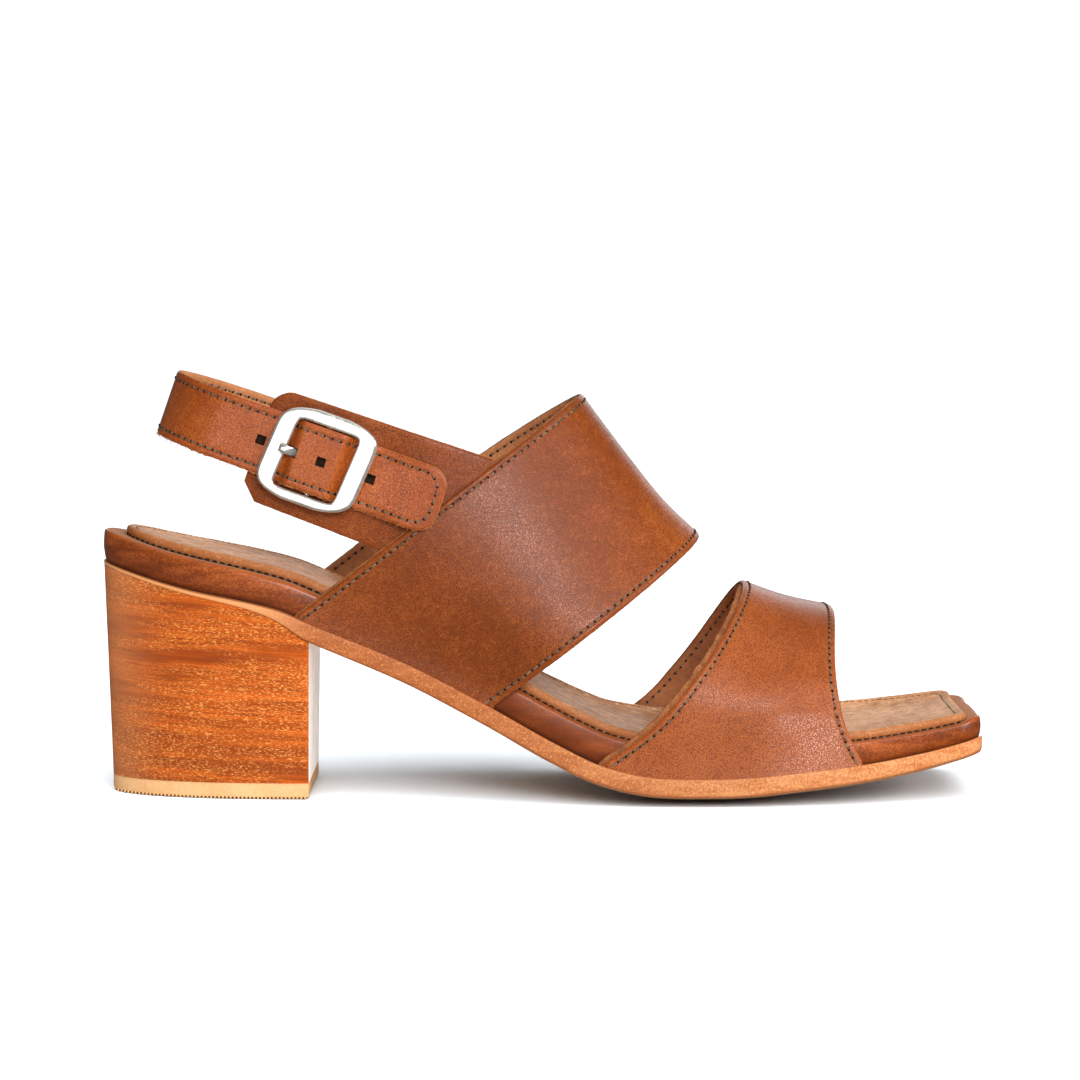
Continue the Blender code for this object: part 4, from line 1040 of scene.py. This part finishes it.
def makeTab(look):
    tip = look["radius"] * (1 - np.cos(np.linspace(0.0, quarter, 12)))
    straight = np.arange(look["back"] + look["radius"], look["front"], look["step"])
    places = np.sin(np.linspace(-quarter, quarter, look["across"]))
    lower, upper = [], []
    for along in np.concatenate([look["back"] + tip[:-1], straight]):
        share = (along - look["back"]) / (look["front"] - look["back"])
        half = 0.5 * (look["widths"][0] + (look["widths"][1] - look["widths"][0]) * share)
        cut = max(0.0, look["back"] + look["radius"] - along)
        upHalf = half - look["radius"] + math.sqrt(max(0.0, look["radius"] ** 2 - cut ** 2))
        lowHalf = half - max(0.0, look["back"] + look["chamfer"] - along)  # lower corner cut off straight
        half = np.where(places < 0, lowHalf, upHalf)
        q = look["q"] + half * places
        p = along + look["slant"] * q * smoothStep(*look["slantRun"], share)
        tuck = (look["tuck"] + look["lean"] * q) * smoothStep(*look["tuckRun"], p)
        fromEdge = np.minimum((1 - np.abs(places)) * half, along - look["back"])
        drop = look["edge"][0] * np.clip(1 - fromEdge / look["edge"][1], 0.0, 1.0) ** 2
        level = -0.5 * look["gap"] - look["thickness"] - tuck
        lower.append(legPoint(lateral, p, q, level + drop))
        upper.append(legPoint(lateral, p, q, level + look["thickness"] - drop))
    lower, upper = np.array(lower), np.array(upper)
    ring = 0.5 * (rimPoints(lower) + rimPoints(upper))
    side = np.sign(ring[:, 2] - np.interp(ring[:, 0], *look["middleLine"]))
    even, uneven = look["fray"]
    ring += loopUp * (side * (even + uneven * ripple(ring, (1.0, 1.0, 1.0), 41)))[:, None]
    mesh = slab("buckleTab", lower, upper, [ring], (2, 0, 1), None, 50.0)
    return place("buckleTab", mesh, [tabLeather, cutEdge, liningLeather], upperNode)


makeTab(tabSizes)
print("buckle tab done")


# buckle
def polishedSilver(look):
    material, coords = newFinish("polishedSilver", 0.2, metallic=0.85)
    wear = coords.noise(220.0, 4.0, 0.6)
    hair = coords.noise(900.0, 3.0, 0.6, (0.2, 1.0, 1.0))
    mask = (wear * 0.7 + hair * 0.3).within(0.36, 0.64)
    return feed(material, colour=mask.blend(look["dark"], look["pale"]), roughness=0.17 + mask * 0.08,
                normal=bumped(wear * 0.6 + hair * 0.2, 0.01, 0.0002))


silver = polishedSilver(buckleLook)
spin = 2 * math.pi * np.arange(buckleLook["spin"]) / buckleLook["spin"]  # round the bar and the prong


def frameOutline(length, side, crown, square, points):
    angle = 2 * math.pi * (np.arange(points) + 0.5) / points
    c, s = np.cos(angle), np.sin(angle)
    along = 0.5 * length * np.sign(c) * np.abs(c) ** (2 / square)
    end = side + (crown - side) * (1 - (2 * along / length) ** 2)
    return along, 0.5 * end * np.sign(s) * np.abs(s) ** (2 / square)


def ringBody(name, rings, closed, sharp):  # a closed ring of sections, or a rod with its ends capped
    count, total = len(rings[0]), len(rings)
    first = np.arange(count)
    faces = [] if closed else [first.tolist(), ((total - 1) * count + first).tolist()]
    for k in range(total if closed else total - 1):
        faces += bridgeFaces(k * count + first, (k + 1) % total * count + first)
    return buildMesh(name, np.concatenate(rings), faces, None, None, sharp)


def makeBuckleFrame(look):
    top = look["thickness"]
    outA, outB = frameOutline(look["length"], look["side"], look["crown"], look["square"][0], look["points"])
    long, wide = look["window"]
    inA, inB = frameOutline(long, wide, wide, look["square"][1], look["points"])
    inB = inB - look["windowDrop"]
    rings = []
    for share, level in look["profile"]:  # flat face, bevelled rim
        b = look["q"] + inB + (outB - inB) * share
        a = look["p"] + inA + (outA - inA) * share + look["lean"] * b
        rings.append(legPoint(lateral, a, b, frameLevel + level * top))
    mesh = ringBody("buckleFrame", rings, True, 50.0)
    width, depth = look["groove"]
    across, out = 0.5 * width * np.cos(spin), frameLevel + top + depth * np.sin(spin)
    rest = [legPoint(lateral, along, across, out) for along in look["grooveRun"]]  # the prong's rest
    tool = linked("restTool", ringBody("restTool", rest, False, 60.0))
    for part in (mesh, tool.data):
        part.materials.append(silver)
    mesh = punched(mesh, "buckleFrame", [tool])
    bpy.data.objects.remove(tool)
    return place("buckleFrame", mesh, [silver], "buckle_frame")


def makeHingeBar(look):
    radius, reach, bend = look["barRadius"], look["barReach"], look["barBend"]
    route = [(-reach, frameLevel + 0.5 * look["thickness"], 0.0)]
    for turn in np.linspace(0.0, quarter, 9):  # both ends bend up into the frame
        route.append((-reach + bend * (1 - math.cos(turn)), barLevel + bend * (1 - math.sin(turn)), turn))
    route += [(-q, level, math.pi - turn) for q, level, turn in route[::-1]]
    out = radius * np.sin(spin)
    bar = [legPoint(lateral, look["p"] + radius * np.cos(spin), look["q"] + q + out * math.cos(turn),
                    level + out * math.sin(turn)) for q, level, turn in route]
    return place("buckleBar", ringBody("buckleBar", bar, False, 60.0), [silver], "buckle_frame")


def makeProng(look, gap):
    rest = frameLevel + look["thickness"] - look["groove"][1] + gap
    hook = look["barRadius"] + gap
    low = barLevel + hook
    path = [(look["prongTip"] + along, rest, share) for along, share in look["prongPoint"]]
    path += [(along, share * rest + (1 - share) * low + lift, 1.0)
             for along, share, lift in look["prongRoute"]]
    for turn in np.linspace(0.0, quarter, 7):  # hooked round the bar
        path.append((look["p"] + hook * math.sin(turn), low - hook * (1 - math.cos(turn)), 1.0))
    prong = []
    wide, high = (np.sign(wave) * np.abs(wave) ** 0.8 for wave in (np.cos(spin), np.sin(spin)))
    for p, level, share in path:
        up = 0.5 * look["prongThickness"] * (1 + (0.4 + 0.6 * share) * high)
        prong.append(legPoint(lateral, p, 0.5 * look["prongWidth"] * share * wide, level + up))
    mesh = ringBody("buckleProng", prong, False, 60.0)
    return place("buckleProng", mesh, [silver], "buckle_prong")


makeBuckleFrame(buckleLook)
makeHingeBar(buckleLook)
makeProng(buckleLook, slingSizes["gap"])
print("buckle done")


# stitches, painted shade in the needle holes, torn fibres and tread ribs, all from geometry nodes
def newTree(name, sockets):  # label, kind and default of each named input
    tree = bpy.data.node_groups.new(name, "GeometryNodeTree")
    keys = {}
    for label, kind, default in sockets:
        socket = tree.interface.new_socket(label, in_out="INPUT", socket_type="NodeSocket" + kind)
        if default is not None:
            socket.default_value = default
        keys[label] = socket.identifier
    tree.interface.new_socket("Shape", in_out="OUTPUT", socket_type="NodeSocketGeometry")
    start = tree.nodes.new("NodeGroupInput")
    return tree, keys, Wire(tree), {label: Wire(tree, start.outputs[label]) for label in keys}


def closeTree(shape, finish):
    shape = shape.node("GeometryNodeSetMaterial", None, {"Geometry": shape, "Material": finish})
    end = shape.tree.nodes.new("NodeGroupOutput")
    shape.tree.links.new(shape.socket, end.inputs[0])


def rowTree(name):  # beads of one size along a path
    tree, keys, wire, given = newTree(name, (
        ("Path", "Geometry", None), ("Pitch", "Float", 0.0024), ("Radius", "Float", 0.0003),
        ("Length", "Float", 0.002), ("Sway", "Float", 0.1), ("Seed", "Int", 3), ("Finish", "Material", None)))
    curve = wire.node("GeometryNodeMeshToCurve", None, {"Mesh": given["Path"]})
    curve = wire.node("GeometryNodeResampleCurve", {"mode": "LENGTH"},
                      {"Curve": curve, "Length": given["Pitch"]})
    tangent = wire.node("GeometryNodeInputTangent")
    turn = wire.node("FunctionNodeAlignRotationToVector", {"axis": "Z"}, {"Vector": tangent})
    less, more = (wire.node("ShaderNodeCombineXYZ", None, {0: sway, 1: sway})
                  for sway in (given["Sway"] * -1.0, given["Sway"]))
    sway = wire.node("FunctionNodeRandomValue", {"data_type": "FLOAT_VECTOR"},
                     {0: less, 1: more, "Seed": given["Seed"]})
    sway = wire.node("FunctionNodeEulerToRotation", None, {0: sway})
    turn = wire.node("FunctionNodeRotateRotation", {"rotation_space": "LOCAL"}, {0: turn, 1: sway})
    bead = wire.node("GeometryNodeMeshUVSphere", None, {"Segments": 8, "Rings": 6, "Radius": 1.0})
    size = wire.node("ShaderNodeCombineXYZ", None,
                     {0: given["Radius"], 1: given["Radius"], 2: given["Length"] * 0.5})
    row = wire.node("GeometryNodeInstanceOnPoints", None,
                    {"Points": curve, "Instance": bead, "Rotation": turn, "Scale": size})
    row = wire.node("GeometryNodeRealizeInstances", None, {"Geometry": row})
    closeTree(wire.node("GeometryNodeSetShadeSmooth", None, {0: row}), given["Finish"])
    return tree, keys


def ribTree(name):  # bars along the lines of a path
    tree, keys, wire, given = newTree(name, (
        ("Lines", "Geometry", None), ("Width", "Float", 0.0005), ("Height", "Float", 0.0004),
        ("Finish", "Material", None)))
    curve = wire.node("GeometryNodeMeshToCurve", None, {"Mesh": given["Lines"]})
    curve = wire.node("GeometryNodeSetCurveNormal", {"mode": "Z_UP"}, {"Curve": curve})
    section = wire.node("GeometryNodeCurvePrimitiveQuadrilateral", None,
                        {0: given["Width"], 1: given["Height"]})
    ribs = wire.node("GeometryNodeCurveToMesh", None,
                     {"Curve": curve, "Profile Curve": section, "Fill Caps": True})
    closeTree(wire.node("GeometryNodeRealizeInstances", None, {"Geometry": ribs}), given["Finish"])
    return tree, keys


def grownRow(name, paths, kit, values, finish):
    points, edges = [], []
    for path in paths:
        first = len(points)
        points += toFrame(path).tolist()
        edges += [(first + k, first + k + 1) for k in range(len(path) - 1)]
    mesh = bpy.data.meshes.new(name + "Path")
    mesh.from_pydata(points, edges, [])
    piece = linked(name + "Path", mesh)
    tree, keys = kit
    modifier = piece.modifiers.new(name, "NODES")
    modifier.node_group = tree
    for label, value in dict(values, Finish=finish).items():
        modifier[keys[label]] = value
    return place(name, asMesh(piece, name), [finish], None)


# hole, holeLength and holeSway size the dark beads of painted shade at the needle holes
threadLook = {"pitch": 2.4, "radius": 0.33, "length": 2.05, "sway": 0.16, "seed": 5, "hole": 0.42,
              "holeLength": 0.78, "holeSway": 0.02,
              "dark": (0.075, 0.048, 0.030), "pale": (0.21, 0.14, 0.088)}
sockThread = dict(threadLook, pitch=1.9, radius=0.13, length=1.3, hole=0.17, holeLength=0.45)
# its long dark beads run together into a painted shadow along the crease under the roll
creaseThread = dict(threadLook, pitch=2.1, radius=0.26, length=1.5, hole=0.38, holeLength=1.7)
fibreLook = {"pitch": 0.7, "radius": 0.06, "length": 2.1, "sway": 1.15, "seed": 9,
             "pale": (0.50, 0.21, 0.08), "dark": (0.22, 0.07, 0.02)}
thread = twoTone("waxedThread", "thread", threadLook["pale"], threadLook["dark"])
threadKit = rowTree("threadRow")


def beadRow(name, paths, look, finish):
    values = {"Pitch": look["pitch"] / 1000, "Radius": look["radius"] / 1000, "Length": look["length"] / 1000,
              "Sway": look["sway"], "Seed": look["seed"]}
    return grownRow(name, paths, threadKit, values, finish)


def further(path, by):  # the path from a little further on
    along = runLength(path)
    return pathAt(path, along, np.concatenate([[by], along[along > by]]))


def sewn(name, paths, look):
    beadRow(name + "Stitches", paths, look, thread)
    # dark beads between the stitches: painted shade in the needle holes
    holes = [further(path, 0.5 * look["pitch"]) for path in paths]
    holeShadeLook = dict(look, radius=look["hole"], length=look["holeLength"], sway=look["holeSway"])
    beadRow(name + "NeedleHoles", holes, holeShadeLook, paintedShade)


sewn("instep", instepStitches, threadLook)
sewn("toe", toeStitches, threadLook)
sewn("heelStrap", slingStitches, threadLook)
sewn("sockBorder", sockBorder, sockThread)
sewn("sockCrease", sockCrease, creaseThread)
print("stitches done")

looseFibre = twoTone("looseFibre", "rawEdge", fibreLook["pale"], fibreLook["dark"])
beadRow("heelStrapFibres", [slingLowEdge], fibreLook, looseFibre)
beadRow("toeStrapFibres", [toeRearEdge], dict(fibreLook, length=1.1, pitch=1.0), looseFibre)
print("fibres done")


def makeTread(heel, look, finish):
    lowX, lowY = heelPlan(heel)[1]
    height = look["ribHeight"] + look["ribOverlap"]
    lines = []
    back, front = look["ribRun"]
    for x in np.arange(heel["bottomBack"] + back, heel["bottomBreast"] - front, look["rib"]):
        ends = [np.interp(x, lowX[:, 0], side) for side in (lowY.min(axis=1), lowY.max(axis=1))]
        lines.append(np.array([(x, y, 0.5 * height) for y in ends]))
    lower, upper = (liftLevel(heel, look["grooveInset"], z) for z in (look["grooveFloor"], height))
    grooves = slab("treadGrooves", lower, upper, (), (0, 0, 0))
    place("treadGrooves", grooves, [paintedShade], None)  # a dark slab as painted shade between the ribs
    values = {"Width": look["ribWidth"] / 1000, "Height": height / 1000}
    return grownRow("treadRibs", lines, ribTree("treadRibs"), values, finish)


makeTread(heelLook, liftLook, lightRubber)
print("tread done")

# floor, light and camera; each light: name, place, aim, size and power
horizonPixels = 283  # how far the photo's horizon lies above its middle
focalPixels = 3780  # the lens's focal length in the photo's pixels
studio = {"backdrop": 1.05, "ambient": 0.22, "mirrored": 0.08, "lens": 126.0, "sensor": 36.0,
          "camera": (-0.0001, -1.0506, 0.14787),
          "pitch": math.degrees(math.atan(horizonPixels / focalPixels)), "clip": (0.01, 50.0),
          "floorHalf": 9, "floorLevel": -0.0002, "floorTone": (0.815, 0.880, 0.93),
          "floorBounce": (0.50, 0.50, 0.50), "floorSun": 3.9, "sunTilt": math.radians(26.0),
          "sunSpread": math.radians(68.0),
          "lights": (("softbox", (0.85, -1.15, 1.05), (0.0, 0.0, 0.06), (1.6, 0.9), 11.0),
                     ("highlightBox", (0.24, -1.47, 0.60), (0.0, 0.0, 0.07), (0.62, 0.5), 16.5),
                     ("instepCard", (0.24, -1.47, 0.60), (0.0, 0.0, 0.07), (0.62, 0.5), 9.0),
                     ("strapCard", (-0.82, -1.22, 0.27), (-0.07, -0.03, 0.10), (0.7, 0.3), 3.5),
                     ("buckleCard", (-0.56, -1.42, 0.17), (-0.07, -0.03, 0.09), (0.8, 0.6), 3.1),
                     ("toeCard", (0.74, -1.25, -0.20), (0.07, -0.03, 0.02), (0.40, 0.22), 13.0),
                     ("sideLight", (1.40, -0.35, 0.50), (-0.06, 0.0, 0.04), (0.6, 0.6), 11.0),
                     ("breastCard", (0.90, -0.20, 0.04), (-0.06, 0.0, 0.025), (0.3, 0.2), 3.2),
                     ("heelCard", (-1.25, -0.55, 0.20), (-0.11, -0.01, 0.03), (0.4, 0.3), 2.0),
                     ("backLight", (0.10, 1.50, 0.45), (0.0, 0.0, 0.05), (1.2, 0.6), 3.5),
                     ("topLight", (0.05, 0.1, 1.5), (0.02, 0.05, 0.0), (1.6, 1.2), 5.0)),
          "sheenAlone": ("toeCard", "instepCard", "strapCard"), "throughFloor": ("breastCard", "toeCard")}


def reachOnly(lamp, pieces):  # the lamp lights these pieces alone
    reached = bpy.data.collections.new(lamp.name + "Reach")
    for piece in pieces:
        reached.objects.link(piece)
    lamp.light_linking.receiver_collection = reached
    return reached


def paleFloor(look):
    half, z = look["floorHalf"], look["floorLevel"]
    mesh = bpy.data.meshes.new("floor")
    corners = [(-half, -half, z), (half, -half, z), (half, half, z), (-half, half, z)]
    mesh.from_pydata(corners, [], [(0, 1, 2, 3)])
    floor = linked("floor", mesh)
    floor.visible_glossy = False  # the leather mirrors the dim front of the room, not the floor
    material, coords = newFinish("paleFloor", 0.9, 0.1)
    seen = coords.node("ShaderNodeLightPath", None, None, "Is Camera Ray")
    tone = seen.blend(look["floorBounce"], look["floorTone"])  # white to look at, little of it thrown back
    mesh.materials.append(feed(material, colour=tone))
    data = bpy.data.lights.new("floorSun", "SUN")  # for white ground and grey shadows
    data.energy, data.angle = look["floorSun"], look["sunSpread"]
    sun = linked("floorSun", data)
    sun.rotation_euler = (look["sunTilt"], 0.0, 0.0)
    reachOnly(sun, [floor])


def softLight(look, name, spot, aim, size, power, pieces):
    data = bpy.data.lights.new(name, "AREA")
    data.shape = "RECTANGLE"
    data.size, data.size_y = size
    data.energy = power
    lamp = linked(name, data)
    lamp.location = spot
    lamp.rotation_euler = (Vector(aim) - Vector(spot)).to_track_quat("-Z", "Y").to_euler()
    lamp.visible_camera = False
    lamp.visible_diffuse = name not in look["sheenAlone"]
    if pieces:
        reached = reachOnly(lamp, pieces)
        if name in look["throughFloor"]:  # stands for light thrown back by the floor
            lamp.light_linking.blocker_collection = reached


def makeStudio(look):
    shoe = [piece for piece in bpy.context.scene.objects if piece.type == "MESH"]
    named = {"buckleCard": ("buckleFrame", "buckleProng", "buckleBar"), "strapCard": ("heelStrap",),
             "toeCard": ("toeStrap", "toeStrapLining"), "instepCard": ("instepStrap",)}
    reach = {light: [bpy.data.objects[name] for name in names] for light, names in named.items()}
    reach.update(breastCard=[heelPiece], heelCard=[heelPiece], backLight=shoe)
    paleFloor(look)
    world = bpy.data.worlds.new("studio")
    world.use_nodes = True
    wire = Wire(world.node_tree)
    seen, mirrored = (wire.node("ShaderNodeLightPath", None, None, ray)
                      for ray in ("Is Camera Ray", "Is Glossy Ray"))
    glow = look["ambient"] + mirrored * (look["mirrored"] - look["ambient"])  # a white backdrop in a dim room
    glow = glow + seen * (look["backdrop"] - glow)
    background = world.node_tree.nodes["Background"]
    background.inputs["Color"].default_value = (1.0, 1.0, 1.0, 1.0)
    world.node_tree.links.new(glow.socket, background.inputs["Strength"])
    world.cycles.sampling_method = "NONE"  # so that mirrored rays see the dim room
    bpy.context.scene.world = world
    for light in look["lights"]:
        softLight(look, *light, reach.get(light[0]))
    data = bpy.data.cameras.new("camera")
    data.lens, data.sensor_width = look["lens"], look["sensor"]
    data.clip_start, data.clip_end = look["clip"]
    camera = linked("camera", data)
    camera.location = look["camera"]
    camera.rotation_euler = (math.radians(90.0 - look["pitch"]), 0.0, 0.0)
    bpy.context.scene.camera = camera
    bpy.context.scene.view_settings.view_transform = "Standard"


makeStudio(studio)
print("studio done")
